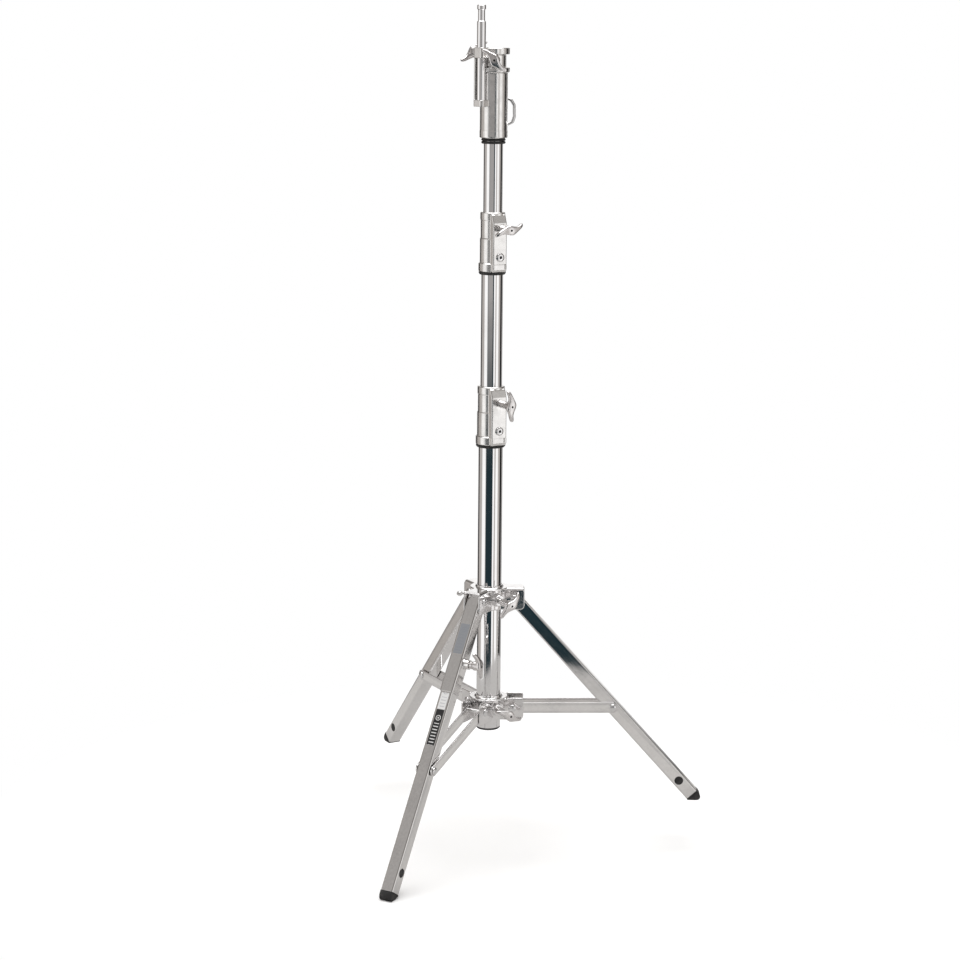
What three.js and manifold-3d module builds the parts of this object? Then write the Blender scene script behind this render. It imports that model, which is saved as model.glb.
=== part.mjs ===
// Combo lighting stand: a three-leg steel stand with two telescoping risers, a sliding leg collar,
// twin-bar leg braces, one levelling leg, and a head with a 28 mm socket and a 16 mm spigot.
// Millimetres, +Z up. Everything is laid out round the column axis; radius is measured from that
// axis, and a local frame turned to an azimuth has X outward, Y sideways and Z up.
import * as THREE from "three";
import { mergeVertices } from "three/addons/utils/BufferGeometryUtils.js";
import Module from "manifold-3d";

const wasm = await Module();
wasm.setup();

// ---------------------------------------------------------------- driving dimensions
const GAP = 0.3; // clearance between neighbouring pieces
const ROUND = 24; // sides of a large round piece
const SMALL_ROUND = 12; // sides of a bolt, screw or pad

const AZIMUTH = { right: 0, rear: 120, front: 240 };
const CLAMP_AZIMUTH = 300; // clamp bosses and their handles sit between the right and front legs
const HEAD_HANDLE_AZIMUTH = 270;
const SPIGOT_AZIMUTH = 227;
const SPIGOT_HANDLE_AZIMUTH = 104;

const BASE = { radius: 22.5, bore: 20.5, bottom: 229, top: 865 };
const RISER_1 = { radius: 20, bore: 18, bottom: 451, top: 1185 };
const RISER_2 = { radius: 17.5, bore: 15.5, bottom: 597, top: 1405 };
const GLIDE_FLANGE = 4; // height of the flange under each riser
const GLIDE_DEPTH = 19; // how far a glide reaches up into its tube
const PLUG_TOP = 238;

const CLAMP_HEIGHT = 114;
const CLAMP_HANDLE_DROP = 29; // handle axis below the clamp's top
const CLAMP_SCREW_RISE = 33; // fixing screw above the clamp's bottom
const BASE_CLAMP = { bottom: 765, tube: BASE, inner: RISER_1, boss: 31, halfWidth: 16, reach: 74 };
const RISER_CLAMP = { bottom: 1085, tube: RISER_1, inner: RISER_2, boss: 28, halfWidth: 14.5, reach: 64.5 };

const LEG_SIZE = 25;
const LEG_WALL = 2;
const LEG_CORNER = 3;
const SLEEVE_WALL = 1.1;
const SLEEVE_LENGTH = 180;
const SLEEVE_CLAMP_DISTANCE = 121; // levelling clamp below the leg pivot
const UPPER_PIVOT = { radius: 47, height: 479 };
const LOWER_PIVOT = { radius: 45, height: 268 };
const LEG_TO_PIN = 280.4; // leg pivot to brace pin
const LEVELLING_EXTENSION = 46; // the front leg is let down this far
const BRACE = 189; // between the pins of a brace bar
const PIN_TO_END = 229.5; // brace pin to the end of the leg tube
const PIN_TO_BUTTON = 192;

const SHEET = 3; // thickness of the pressed collars and of the brace bars
const CHANNEL_HALF = 14.2; // half the inside width of a leg channel
const LOWER_CHANNEL_HALF = 17.5;
const ARM_REACH = 66;
const UPPER_SPIDER = { bottom: 458, top: 500 };
const LOWER_SPIDER = { bottom: 246, top: 288 };
const SPIDER_HUB = 27;
const COLLAR_REACH = 81; // column axis to the middle of a collar handle's wing
const BAR_WIDTH = 20;
const BAR_INNER = 14;
const BOLT_RADIUS = 4;
const BAR_HOLE = 4.7; // radius, roomier than the bolt so that the bars swing freely
const KNOB_STEM = [[2.8, 20.9], [2.8, 32.5], [4.4, 33.5], [4.9, 36], [4.4, 40], [2.6, 42]]; // [radius, along]

const SCREW_RADIUS = 4.7;
const SCREW_HOLE = 5.3;
const SHOE_RADIUS = 5;
const WING = { half: 30, thickness: 9, hub: 9.6, tip: 3.6, bend: 6, sway: 2.6 };

const RECEIVER = { bottom: 1332.6, top: 1493.6, radius: 25, ring: 28.4, socket: 14.4, floor: 1412 };
const HEAD_HANDLE_HEIGHT = 1472;
const SPIGOT = { radius: 8, offset: 34, bottom: 1398, top: 1569 };
const SPIGOT_HANDLE_HEIGHT = 1486;
const CARRIER = { bottom: 1389, top: 1494, near: 25.6, far: 43, wall: 3, half: 12.5 };

const CHROME = ["#d9d9d8", 0.12, 1];
const SATIN = ["#c4c3c1", 0.38, 1];
const BRUSHED = ["#b9b5b1", 0.42, 1];
const RUBBER = ["#1c1c1d", 0.85, 0];
const NYLON = ["#d8d5cc", 0.6, 0];

// ---------------------------------------------------------------- solids and shapes
function toSolid(geometry) {
  const loose = geometry.index ? geometry.toNonIndexed() : geometry;
  const bare = new THREE.BufferGeometry().setAttribute("position", loose.getAttribute("position"));
  const merged = mergeVertices(bare, 1e-4);
  const index = Array.from(merged.index.array);
  const corners = [];
  for (let i = 0; i < index.length; i += 3) {
    const [a, b, c] = index.slice(i, i + 3);
    if (a !== b && b !== c && c !== a) corners.push(a, b, c);
  }
  return new wasm.Manifold(
    new wasm.Mesh({
      numProp: 3,
      vertProperties: merged.getAttribute("position").array,
      triVerts: new Uint32Array(corners),
    }),
  );
}

function toGeometry(solid) {
  const mesh = solid.getMesh();
  const indexed = new THREE.BufferGeometry();
  indexed.setAttribute("position", new THREE.BufferAttribute(mesh.vertProperties, mesh.numProp));
  indexed.setIndex(new THREE.BufferAttribute(mesh.triVerts, 1));
  const geometry = indexed.toNonIndexed();
  geometry.computeVertexNormals();
  return geometry;
}

function join(...solids) {
  return solids.reduce((whole, next) => whole.add(next));
}

function cut(whole, ...tools) {
  return tools.reduce((rest, tool) => rest.subtract(tool), whole);
}

// A solid of revolution about Z; the profile is [radius, height] pairs, anticlockwise.
function turnedGeometry(profile, sides = ROUND) {
  const points = [...profile, profile[0]].map(([radius, height]) => new THREE.Vector2(radius, height));
  return new THREE.LatheGeometry(points, sides).rotateX(Math.PI / 2);
}

function turned(profile, sides) {
  return toSolid(turnedGeometry(profile, sides));
}

function rodGeometry(radius, from, to, sides = SMALL_ROUND) {
  return turnedGeometry([[0, from], [radius, from], [radius, to], [0, to]], sides);
}

function rod(radius, from, to, sides) {
  return toSolid(rodGeometry(radius, from, to, sides));
}

function rodAlongX(radius, from, to, sides) {
  return toSolid(rodGeometry(radius, from, to, sides).rotateY(Math.PI / 2));
}

function rodAlongY(radius, from, to, sides) {
  return toSolid(rodGeometry(radius, from, to, sides).rotateX(-Math.PI / 2));
}

function pipe(outer, inner, from, to) {
  return turned([[inner, from], [outer, from], [outer, to], [inner, to]]);
}

function block([x0, x1], [y0, y1], [z0, z1]) {
  const box = new THREE.BoxGeometry(x1 - x0, y1 - y0, z1 - z0);
  return toSolid(box.translate((x0 + x1) / 2, (y0 + y1) / 2, (z0 + z1) / 2));
}

// A plate whose outline lies in the X-Z plane, from y0 to y1.
function upright(shape, y0, y1, curveSegments = 5) {
  const plate = new THREE.ExtrudeGeometry(shape, { depth: y1 - y0, bevelEnabled: false, curveSegments });
  return toSolid(plate.rotateX(Math.PI / 2).translate(0, y1, 0));
}

function polygon(points) {
  return new THREE.Shape(points.map(([x, y]) => new THREE.Vector2(x, y)));
}

function roundedSquare(size, corner) {
  const edge = size / 2 - corner;
  const shape = new THREE.Shape();
  shape.absarc(edge, edge, corner, 0, Math.PI / 2);
  shape.absarc(-edge, edge, corner, Math.PI / 2, Math.PI);
  shape.absarc(-edge, -edge, corner, Math.PI, 1.5 * Math.PI);
  shape.absarc(edge, -edge, corner, 1.5 * Math.PI, 2 * Math.PI);
  shape.closePath();
  return shape;
}

// A square tube that hangs along -Z, from `from` to `to` below the origin.
function squareTube(size, wall, from, to) {
  const shape = roundedSquare(size, LEG_CORNER);
  shape.holes.push(roundedSquare(size - 2 * wall, LEG_CORNER - wall / 2));
  const settings = { depth: to - from, bevelEnabled: false, curveSegments: 1 };
  return toSolid(new THREE.ExtrudeGeometry(shape, settings).translate(0, 0, -to));
}

function squareRod(size, corner, from, to) {
  const settings = { depth: to - from, bevelEnabled: false, curveSegments: 1 };
  const bar = new THREE.ExtrudeGeometry(roundedSquare(size, corner), settings);
  return toSolid(bar.translate(0, 0, -to));
}

function turnTo(solid, azimuth) {
  return solid.rotate([0, 0, azimuth]);
}

function mesh(name, solid, [colour, roughness, metalness]) {
  const material = new THREE.MeshStandardMaterial({ color: colour, roughness, metalness });
  const piece = new THREE.Mesh(toGeometry(solid), material);
  piece.name = name;
  return piece;
}

function groupAt(azimuth, x, z, tilt, ...pieces) {
  const arm = new THREE.Group();
  arm.position.set(x, 0, z);
  arm.rotation.y = tilt;
  arm.add(...pieces);
  const spoke = new THREE.Group();
  spoke.rotation.z = THREE.MathUtils.degToRad(azimuth);
  spoke.add(arm);
  return spoke;
}

// ---------------------------------------------------------------- handles
// The wing of a handle: a flat lozenge with two swept arms that lean back towards the screw.
function handleWing(reach) {
  const steps = 10;
  const edge = (side) =>
    Array.from({ length: steps + 1 }, (_, i) => {
      const along = WING.half * (-1 + (2 * i) / steps);
      const width = WING.tip + (WING.hub - WING.tip) * Math.exp(-((along / 11) ** 2));
      const sway = WING.sway * Math.sin((Math.PI * along) / WING.half);
      return [sway + side * width, along];
    });
  const shape = polygon([...edge(1), ...edge(-1).reverse()]);
  const wing = new THREE.ExtrudeGeometry(shape, { depth: WING.thickness, bevelEnabled: false });
  const position = wing.getAttribute("position");
  for (let i = 0; i < position.count; i += 1) {
    const lean = WING.bend * (position.getY(i) / WING.half) ** 2;
    position.setZ(i, position.getZ(i) - lean);
  }
  wing.rotateX(Math.PI / 2).rotateZ(Math.PI / 2);
  return toSolid(wing.translate(reach - WING.thickness / 2, 0, 0));
}

// A screw along +X from its tip at 0, with a thicker neck from `neck` on and a wing at `reach`.
function handle(name, reach, neck, turn) {
  const screw = turnedGeometry([
    [0, 0],
    [SCREW_RADIUS, 0],
    [SCREW_RADIUS, neck],
    [7, neck],
    [7, reach - 14],
    [8.6, reach - 11],
    [8.6, reach - 3],
    [0, reach - 3],
  ], SMALL_ROUND).rotateY(Math.PI / 2);
  const dimple = rodAlongX(2, reach + 1, reach + 20, 10);
  const piece = mesh(name, cut(join(toSolid(screw), handleWing(reach)), dimple), SATIN);
  piece.rotation.x = THREE.MathUtils.degToRad(turn);
  return piece;
}

function brakeShoe(name, length) {
  return mesh(name, rodAlongX(SHOE_RADIUS, 0, length), NYLON);
}

// ---------------------------------------------------------------- column
function baseTube() {
  const shoeHole = rodAlongX(SHOE_RADIUS + 1, 10, 30);
  const hole = turnTo(shoeHole.translate([0, 0, clampHandleHeight(BASE_CLAMP)]), CLAMP_AZIMUTH);
  return mesh("base_tube", cut(pipe(BASE.radius, BASE.bore, BASE.bottom, BASE.top), hole), CHROME);
}

function baseEndPlug() {
  const skirt = BASE.bore - GAP - 0.2;
  const flangeTop = BASE.bottom - GAP;
  return mesh(
    "base_end_plug",
    turned([
      [0, flangeTop - 3.5],
      [BASE.radius - 1.5, flangeTop - 3.5],
      [BASE.radius, flangeTop - 2],
      [BASE.radius, flangeTop],
      [skirt, flangeTop],
      [skirt, PLUG_TOP],
      [skirt - 3, PLUG_TOP],
      [skirt - 3, flangeTop],
      [0, flangeTop],
    ]),
    RUBBER,
  );
}

function riserTube(name, tube, clamp) {
  const body = pipe(tube.radius, tube.bore, tube.bottom, tube.top);
  if (!clamp) return mesh(name, body, CHROME);
  const hole = rodAlongX(SHOE_RADIUS + 1, 10, 30).translate([0, 0, clampHandleHeight(clamp)]);
  return mesh(name, cut(body, turnTo(hole, CLAMP_AZIMUTH)), CHROME);
}

// The bush under a riser: a flange below the tube and a skirt inside it.
function riserGlide(name, tube) {
  const skirt = tube.bore - GAP;
  const flangeTop = tube.bottom - GAP;
  return mesh(
    name,
    turned([
      [skirt - 3.5, flangeTop - GLIDE_FLANGE],
      [tube.radius - 0.6, flangeTop - GLIDE_FLANGE],
      [tube.radius, flangeTop - GLIDE_FLANGE + 0.6],
      [tube.radius, flangeTop],
      [skirt, flangeTop],
      [skirt, tube.bottom + GLIDE_DEPTH],
      [skirt - 3.5, tube.bottom + GLIDE_DEPTH],
    ]),
    NYLON,
  );
}

// ---------------------------------------------------------------- riser clamps
function clampHandleHeight(clamp) {
  return clamp.bottom + CLAMP_HEIGHT - CLAMP_HANDLE_DROP;
}

function clampBody(name, clamp) {
  const low = clamp.bottom + 5 + GAP;
  const top = clamp.bottom + CLAMP_HEIGHT;
  const outer = clamp.tube.radius;
  const casting = turned([
    [0, low],
    [outer + 4.6, low],
    [outer + 5.5, low + 1.5],
    [outer + 5.5, low + 15],
    [outer + 3, low + 17],
    [outer + 3, low + 60],
    [outer + 1.9, low + 62],
    [outer + 1.9, top - 15],
    [outer + 2.8, top - 14],
    [outer + 2.8, top - 1.5],
    [outer + 1.6, top],
    [0, top],
  ]);
  const bossSide = polygon([
    [5, low],
    [clamp.boss - 4, low],
    [clamp.boss, low + 5],
    [clamp.boss, top - 20],
    [clamp.boss - 6, top - 3],
    [5, top - 3],
  ]);
  const boss = upright(bossSide, -clamp.halfWidth, clamp.halfWidth);
  const screwHole = rodAlongX(SCREW_HOLE, 5, 60).translate([0, 0, clampHandleHeight(clamp)]);
  const fixingHole = rodAlongX(BOLT_RADIUS + GAP, 5, 60).translate([0, 0, clamp.bottom + CLAMP_SCREW_RISE]);
  const body = join(casting, turnTo(boss, CLAMP_AZIMUTH));
  return mesh(
    name,
    cut(
      body,
      rod(outer + GAP, low - 1, clamp.tube.top + GAP, ROUND),
      rod(clamp.inner.radius + 0.4, low - 1, top + 1, ROUND),
      turnTo(join(screwHole, fixingHole), CLAMP_AZIMUTH),
    ),
    SATIN,
  );
}

function clampGasket(name, clamp) {
  const outer = clamp.tube.radius + 4.8;
  const inner = clamp.tube.radius + GAP;
  return mesh(
    name,
    turned([
      [inner, clamp.bottom],
      [outer - 2, clamp.bottom],
      [outer, clamp.bottom + 2.5],
      [outer, clamp.bottom + 5],
      [inner, clamp.bottom + 5],
    ]),
    RUBBER,
  );
}

// Round-headed hexagon-socket screw that fixes a clamp body to its tube.
function fixingScrew(name, clamp) {
  const tip = clamp.tube.radius + GAP;
  const face = clamp.boss + GAP;
  const screw = turnedGeometry([
    [0, tip],
    [BOLT_RADIUS, tip],
    [BOLT_RADIUS, face],
    [8, face],
    [8, face + 1.6],
    [6.6, face + 2.8],
    [0, face + 2.8],
  ], 20).rotateY(Math.PI / 2);
  const socket = rodAlongX(3.2, face, face + 10, 6);
  const piece = mesh(name, cut(toSolid(screw), socket), CHROME);
  piece.position.z = clamp.bottom + CLAMP_SCREW_RISE;
  return piece;
}

function clampSet(label, clamp, turn) {
  const shoeTip = clamp.inner.radius + GAP;
  const shoeEnd = shoeTip + 5.4;
  const screwTip = shoeEnd + GAP;
  const shoe = brakeShoe(`${label}_brake_shoe`, shoeEnd - shoeTip);
  shoe.position.set(shoeTip, 0, clampHandleHeight(clamp));
  const neck = clamp.boss + 1.5 - screwTip;
  const lever = handle(`${label}_clamp_handle`, clamp.reach - screwTip, neck, turn);
  lever.position.set(screwTip, 0, clampHandleHeight(clamp));
  return [
    clampBody(`${label}_clamp_body`, clamp),
    clampGasket(`${label}_clamp_gasket`, clamp),
    groupAt(CLAMP_AZIMUTH, 0, 0, 0, shoe, lever, fixingScrew(`${label}_clamp_screw`, clamp)),
  ];
}

// ---------------------------------------------------------------- head
function spigotHandleAxis(solid) {
  const spigotX = SPIGOT.offset * Math.cos(THREE.MathUtils.degToRad(SPIGOT_AZIMUTH));
  const spigotY = SPIGOT.offset * Math.sin(THREE.MathUtils.degToRad(SPIGOT_AZIMUTH));
  return turnTo(solid, SPIGOT_HANDLE_AZIMUTH).translate([spigotX, spigotY, SPIGOT_HANDLE_HEIGHT]);
}

function receiverBody() {
  const { bottom, top, radius, ring, socket, floor } = RECEIVER;
  const casting = turned([
    [0, bottom],
    [radius - 0.4, bottom],
    [radius + 0.4, bottom + 1.5],
    [radius + 0.4, bottom + 13],
    [radius, bottom + 14],
    [radius, 1449],
    [ring, 1450.5],
    [ring, 1458],
    [22, 1459.5],
    [22, 1480.5],
    [ring, 1482],
    [ring, top - 1.2],
    [ring - 1.2, top],
    [0, top],
  ]);
  const screwBoss = rodAlongX(9, 5, 31, 16).translate([0, 0, HEAD_HANDLE_HEIGHT]);
  const screwHole = rodAlongX(SCREW_HOLE, 5, 60).translate([0, 0, HEAD_HANDLE_HEIGHT]);
  const spigotWay = rod(SPIGOT.radius + 0.7, bottom - 1, top + 1).translate([SPIGOT.offset, 0, 0]);
  return mesh(
    "receiver_body",
    cut(
      join(casting, turnTo(screwBoss, HEAD_HANDLE_AZIMUTH)),
      rod(RISER_2.radius + GAP, bottom - 1, RISER_2.top + GAP, ROUND),
      rod(socket, floor, top + 1, ROUND),
      turnTo(screwHole, HEAD_HANDLE_AZIMUTH),
      turnTo(spigotWay, SPIGOT_AZIMUTH),
      spigotHandleAxis(rodAlongX(SCREW_HOLE + 2.2, 0, 80)),
    ),
    SATIN,
  );
}

function bumperRing(name, centre) {
  const inner = RISER_2.radius + GAP;
  return mesh(
    name,
    turned([
      [inner, centre - 2.3],
      [inner + 2.9, centre - 2.3],
      [inner + 4.9, centre - 0.9],
      [inner + 4.9, centre + 0.9],
      [inner + 2.9, centre + 2.3],
      [inner, centre + 2.3],
    ]),
    RUBBER,
  );
}

function cableLoop() {
  const rodRadius = 2.7;
  const start = RECEIVER.radius + GAP;
  const out = 37.3;
  const points = [
    [start, 1403],
    [start + 5, 1400],
    [out - 2, 1393],
    [out, 1387],
    [out, 1372],
    [out - 2.5, 1363],
    [start + 5, 1358.5],
    [start, 1357],
  ].map(([x, z]) => new THREE.Vector3(x, 0, z));
  const route = new THREE.CatmullRomCurve3(points, false, "centripetal");
  const section = new THREE.Shape().absarc(0, 0, rodRadius, 0, 2 * Math.PI);
  const loop = new THREE.ExtrudeGeometry(section, { steps: 16, curveSegments: 4, extrudePath: route });
  const keepClear = pipe(RECEIVER.radius + GAP, 1, 1340, 1420);
  return mesh("cable_loop", cut(toSolid(loop), keepClear), CHROME);
}

function spigot() {
  const { radius, bottom, top } = SPIGOT;
  const pin = mesh(
    "spigot",
    turned([
      [0, bottom],
      [radius - 1, bottom],
      [radius, bottom + 1],
      [radius, top - 30],
      [radius - 1.7, top - 28.5],
      [radius - 1.7, top - 8.5],
      [radius, top - 7],
      [radius, top - 1],
      [radius - 1, top],
      [0, top],
    ], 24),
    CHROME,
  );
  pin.position.x = SPIGOT.offset;
  return pin;
}

// The bracket beside the receiver: a side plate with a guide eye at each end for the spigot.
function spigotCarrier() {
  const { bottom, top, near, far, wall, half } = CARRIER;
  const sidePlate = block([near - 4, far - 3], [-half, -half + wall], [bottom, top]);
  const eye = (low, high) => block([near - 3, far], [-half, half - 2], [low, high]);
  const body = join(sidePlate, eye(bottom, bottom + 12), eye(top - 19, top));
  const handleHole = rodAlongX(SCREW_HOLE, 0, 60).translate([0, 0, SPIGOT_HANDLE_HEIGHT]);
  const sideways = turnTo(handleHole, SPIGOT_HANDLE_AZIMUTH - SPIGOT_AZIMUTH);
  return mesh(
    "spigot_carrier",
    cut(
      body,
      rod(SPIGOT.radius + 0.4, bottom - 1, top + 1, 24).translate([SPIGOT.offset, 0, 0]),
      rod(RECEIVER.radius + 0.6, bottom - 1, 1448, ROUND),
      rod(RECEIVER.ring + 0.6, 1447.5, top + 1, ROUND),
      sideways.translate([SPIGOT.offset, 0, 0]),
    ),
    SATIN,
  );
}

function spigotSet() {
  const screwTip = SPIGOT.radius + GAP + 0.2;
  const lever = handle("spigot_handle", 62 - screwTip, 26, 55);
  lever.position.x = screwTip;
  const aim = new THREE.Group();
  aim.position.set(SPIGOT.offset, 0, SPIGOT_HANDLE_HEIGHT);
  aim.rotation.z = THREE.MathUtils.degToRad(SPIGOT_HANDLE_AZIMUTH - SPIGOT_AZIMUTH);
  aim.add(lever);
  return groupAt(SPIGOT_AZIMUTH, 0, 0, 0, spigot(), spigotCarrier(), aim);
}

function receiverHandle() {
  const screwTip = RECEIVER.socket + 0.8;
  const lever = handle("receiver_handle", 62 - screwTip, 32.5 - screwTip, 50);
  lever.position.set(screwTip, 0, HEAD_HANDLE_HEIGHT);
  return groupAt(HEAD_HANDLE_AZIMUTH, 0, 0, 0, lever);
}

// ---------------------------------------------------------------- collars
// One arm of a collar: two upright flanges, with a top plate that reaches out to `cover`.
function collarArm(spider, channelHalf, cover, azimuth) {
  const { bottom, top } = spider;
  const corner = 8;
  const shape = new THREE.Shape();
  shape.moveTo(12, bottom);
  shape.lineTo(ARM_REACH - corner, bottom);
  shape.absarc(ARM_REACH - corner, bottom + corner, corner, 1.5 * Math.PI, 2 * Math.PI);
  shape.lineTo(ARM_REACH, top - corner / 2);
  shape.absarc(ARM_REACH - corner / 2, top - corner / 2, corner / 2, 0, Math.PI / 2);
  shape.lineTo(12, top);
  shape.closePath();
  const outer = channelHalf + SHEET;
  const flanges = join(
    upright(shape, -outer, -channelHalf, 1),
    upright(shape, channelHalf, outer, 1),
  );
  const plate = block([0, cover], [-outer + 0.5, outer - 0.5], [top - SHEET, top]);
  return turnTo(join(flanges, plate), azimuth);
}

function collar(name, spider, channelHalf, cover, pivot) {
  const { bottom, top } = spider;
  const arms = Object.values(AZIMUTH).map((azimuth) => collarArm(spider, channelHalf, cover, azimuth));
  const hub = rod(SPIDER_HUB, bottom, top, ROUND);
  const lip = turned([[0, top - 1], [SPIDER_HUB - 1, top - 1], [SPIDER_HUB - 2, top + 4], [0, top + 4]]);
  const skirt = rod(SPIDER_HUB + 9, top - SHEET, top, ROUND);
  const boss = rodAlongX(11, 10, 40, 16).translate([0, 0, pivot.height]);
  const screwHole = rodAlongX(SCREW_HOLE, 10, 60).translate([0, 0, pivot.height]);
  const boltHoles = Object.values(AZIMUTH).map((azimuth) =>
    turnTo(rodAlongY(BOLT_RADIUS + GAP, -40, 40).translate([pivot.radius, 0, pivot.height]), azimuth),
  );
  return mesh(
    name,
    cut(
      join(...arms, hub, lip, skirt, turnTo(boss, CLAMP_AZIMUTH)),
      rod(BASE.radius + 0.5, bottom - 1, top + 10, ROUND),
      turnTo(screwHole, CLAMP_AZIMUTH),
      ...boltHoles,
    ),
    CHROME,
  );
}

function collarClamp(label, pivot, shoeTip, turn) {
  const shoeEnd = shoeTip + 6;
  const screwTip = shoeEnd + GAP;
  const shoe = brakeShoe(`${label}_brake_shoe`, shoeEnd - shoeTip);
  shoe.position.set(shoeTip, 0, pivot.height);
  const lever = handle(`${label}_collar_handle`, COLLAR_REACH - screwTip, 41.5 - screwTip, turn);
  lever.position.set(screwTip, 0, pivot.height);
  return groupAt(CLAMP_AZIMUTH, 0, 0, 0, shoe, lever);
}

// A pivot bolt along Y; `washer` is how far the spacer on each side of the leg reaches, if any,
// and `stem` lengthens the +Y end into a thin stem with a round knob.
function pivotBolt(name, channelHalf, washer, stem = []) {
  const outer = channelHalf + SHEET + GAP;
  const half = [[BOLT_RADIUS, outer], [7.4, outer], [7.4, outer + 1.6], [5.4, outer + 3.4]];
  const spacer = washer
    ? [[BOLT_RADIUS, washer[0]], [8.5, washer[0]], [8.5, washer[1]], [BOLT_RADIUS, washer[1]]]
    : [];
  const upper = [...spacer, ...half];
  const lower = upper.map(([radius, along]) => [radius, -along]).reverse();
  const ends = [[0, -outer - 3.4], ...lower, ...upper, ...stem];
  const last = ends[ends.length - 1][1];
  return mesh(name, toSolid(turnedGeometry([...ends, [0, last]], SMALL_ROUND).rotateX(-Math.PI / 2)), CHROME);
}

// ---------------------------------------------------------------- legs and braces
function triangleAngle(opposite, sideA, sideB) {
  return Math.acos((sideA ** 2 + sideB ** 2 - opposite ** 2) / (2 * sideA * sideB));
}

// Where the leg and the brace point when the leg pin is `legLength` from the upper pivot.
function spread(legLength) {
  const rise = UPPER_PIVOT.height - LOWER_PIVOT.height;
  const inward = UPPER_PIVOT.radius - LOWER_PIVOT.radius;
  const span = Math.hypot(rise, inward);
  const lean = Math.atan2(inward, rise);
  const legTilt = triangleAngle(BRACE, span, legLength) - lean;
  const braceTilt = Math.PI / 2 - triangleAngle(legLength, span, BRACE) - lean;
  return { legTilt, braceTilt };
}

function legTube(name, from, pin) {
  const end = pin + PIN_TO_END;
  const tube = squareTube(LEG_SIZE, LEG_WALL, from, end);
  const buttonHole = rodAlongY(8 + GAP, -30, 30, 14).translate([0, 0, -(pin + PIN_TO_BUTTON)]);
  const boltHole = rodAlongY(BOLT_RADIUS + GAP, -30, 30);
  return mesh(name, cut(tube, buttonHole, boltHole), BRUSHED);
}

// Rubber foot: a wedge whose sole lies flat when the leg stands at its normal spread, a plug
// inside the tube, and two round buttons that snap into the tube's side walls.
function rubberFoot(name, pin) {
  const { legTilt } = spread(LEG_TO_PIN);
  const half = LEG_SIZE / 2;
  const end = PIN_TO_END + GAP;
  const heel = [-half, -(end + 2.8)];
  const soleLength = 17;
  const toe = [heel[0] + soleLength * Math.cos(legTilt), heel[1] - soleLength * Math.sin(legTilt)];
  const shape = new THREE.Shape();
  shape.moveTo(-half, -end);
  shape.lineTo(heel[0], heel[1]);
  shape.lineTo(toe[0], toe[1]);
  shape.bezierCurveTo(toe[0] + 6, toe[1] - 4.5, half, -end - 14, half, -end - 4);
  shape.lineTo(half, -end);
  shape.closePath();
  const wedge = upright(shape, -half, half, 3);
  const plug = squareRod(LEG_SIZE - 2 * (LEG_WALL + GAP), 2, PIN_TO_BUTTON - 14, end + 1);
  const button = rodAlongY(8, -half - 0.6, half + 0.6, 14).translate([0, 0, -PIN_TO_BUTTON]);
  const piece = mesh(name, join(wedge, plug, button), RUBBER);
  piece.position.z = -pin;
  return piece;
}

function levellingSleeve() {
  const size = LEG_SIZE + 2 * (GAP + SLEEVE_WALL);
  const tube = squareTube(size, SLEEVE_WALL, -9, SLEEVE_LENGTH);
  const boss = rodAlongY(9, size / 2 - 0.5, 25, 20).translate([0, 0, -SLEEVE_CLAMP_DISTANCE]);
  const screwHole = rodAlongY(SCREW_HOLE, 0, 40).translate([0, 0, -SLEEVE_CLAMP_DISTANCE]);
  const boltHole = rodAlongY(BOLT_RADIUS + GAP, -30, 30);
  return mesh("levelling_sleeve", cut(join(tube, boss), screwHole, boltHole), BRUSHED);
}

function levellingClamp() {
  const shoeTip = LEG_SIZE / 2 + GAP;
  const shoeEnd = shoeTip + 4;
  const screwTip = shoeEnd + GAP;
  const shoe = brakeShoe("levelling_brake_shoe", shoeEnd - shoeTip);
  shoe.position.x = shoeTip;
  const lever = handle("levelling_handle", 46 - screwTip, 26.5 - screwTip, 62);
  lever.position.x = screwTip;
  const clamp = new THREE.Group();
  clamp.rotation.z = Math.PI / 2;
  clamp.position.z = -SLEEVE_CLAMP_DISTANCE;
  clamp.add(shoe, lever);
  return clamp;
}

function braceBar(name, side) {
  const half = BAR_WIDTH / 2;
  const shape = new THREE.Shape();
  shape.absarc(0, 0, half, 0.5 * Math.PI, 1.5 * Math.PI);
  shape.absarc(BRACE, 0, half, -0.5 * Math.PI, 0.5 * Math.PI);
  shape.closePath();
  for (const centre of [0, BRACE]) {
    shape.holes.push(new THREE.Path().absarc(centre, 0, BAR_HOLE, 0, 2 * Math.PI));
  }
  const near = side > 0 ? BAR_INNER : -BAR_INNER - SHEET;
  return mesh(name, upright(shape, near, near + SHEET, 4), BRUSHED);
}

function braceRivet(name, side) {
  const outer = BAR_INNER + SHEET + GAP;
  const rivet = turned([
    [0, BAR_INNER],
    [BOLT_RADIUS, BAR_INNER],
    [BOLT_RADIUS, outer],
    [7, outer],
    [7, outer + 1.2],
    [4.6, outer + 3],
    [0, outer + 3],
  ], SMALL_ROUND);
  const piece = mesh(name, rivet, CHROME);
  piece.rotation.x = (-side * Math.PI) / 2;
  piece.position.x = BRACE;
  return piece;
}

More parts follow.
